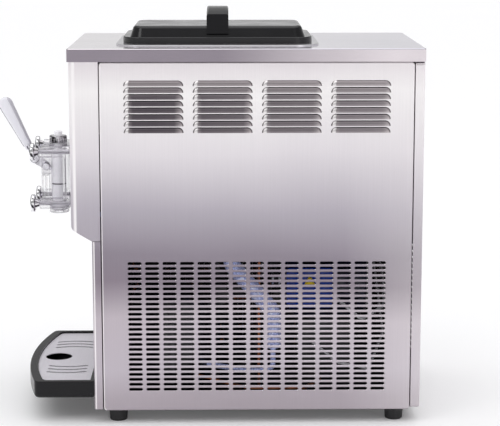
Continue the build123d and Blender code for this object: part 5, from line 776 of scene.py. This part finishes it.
def make_world():
    """A studio's soft surround: bright overhead, greyer walls, bright again at the horizon."""
    world = bpy.data.worlds.new("studio")
    bpy.context.scene.world = world
    world.use_nodes = True
    tree = world.node_tree
    place = tree.nodes.new("ShaderNodeTexCoord")
    parts = tree.nodes.new("ShaderNodeSeparateXYZ")
    tree.links.new(place.outputs["Generated"], parts.inputs["Vector"])
    ramp = tree.nodes.new("ShaderNodeValToRGB")
    set_stops(ramp, [(share, (grey, grey, grey * SURROUND_BLUE, 1.0)) for share, grey in SURROUND])
    tree.links.new(parts.outputs["Z"], ramp.inputs["Fac"])
    background = tree.nodes["Background"]
    background.inputs["Strength"].default_value = SURROUND_STRENGTH
    tree.links.new(ramp.outputs["Color"], background.inputs["Color"])


def soft_box(name, place, target, width, height, power):
    """A rectangular studio light that faces target."""
    data = bpy.data.lights.new(name, "AREA")
    data.shape = "RECTANGLE"
    data.size = width
    data.size_y = height
    data.energy = power
    light = bpy.data.objects.new(name, data)
    light.location = place
    light.rotation_mode = "QUATERNION"
    light.rotation_quaternion = (Vector(target) - Vector(place)).to_track_quat("-Z", "Y")
    bpy.context.scene.collection.objects.link(light)


CAMERA_AWAY = 2.933  # from the cover's right edge
CAMERA_BEHIND_FRONT = 0.285  # behind the cover's front edge
CAMERA_HEIGHT = 0.947
CAMERA_TURN = math.radians(0.95)  # towards the rear
CAMERA_PITCH = math.radians(9.62)  # downward
LENS = 116.4  # millimetres, on a 36 mm sensor
LENS_SHIFT = -0.05  # takes up a little of the look down, so that the pitch can be less


def make_camera():
    """Looks at the machine's right side from a little above its cover."""
    place = Vector((cover_high.x + CAMERA_AWAY, cover_low.y + CAMERA_BEHIND_FRONT, CAMERA_HEIGHT))
    level = math.cos(CAMERA_PITCH)
    gaze = Vector((-level * math.cos(CAMERA_TURN), level * math.sin(CAMERA_TURN), -math.sin(CAMERA_PITCH)))
    data = bpy.data.cameras.new("camera")
    data.lens = LENS
    data.sensor_width = 36.0
    data.shift_y = LENS_SHIFT
    data.clip_end = 200.0
    camera = bpy.data.objects.new("camera", data)
    camera.location = place
    camera.rotation_mode = "QUATERNION"
    camera.rotation_quaternion = gaze.to_track_quat("-Z", "Y")
    bpy.context.scene.collection.objects.link(camera)
    bpy.context.scene.camera = camera


make_floor()
make_world()
machine_middle = (0.0, 0.0, 0.4)
soft_box("key", (2.4, -2.2, 2.6), machine_middle, width=1.2, height=1.2, power=10.0)
soft_box("fill", (2.6, 2.0, 1.6), machine_middle, width=1.4, height=1.8, power=5.0)
make_camera()
bpy.context.scene.view_settings.view_transform = "Standard"
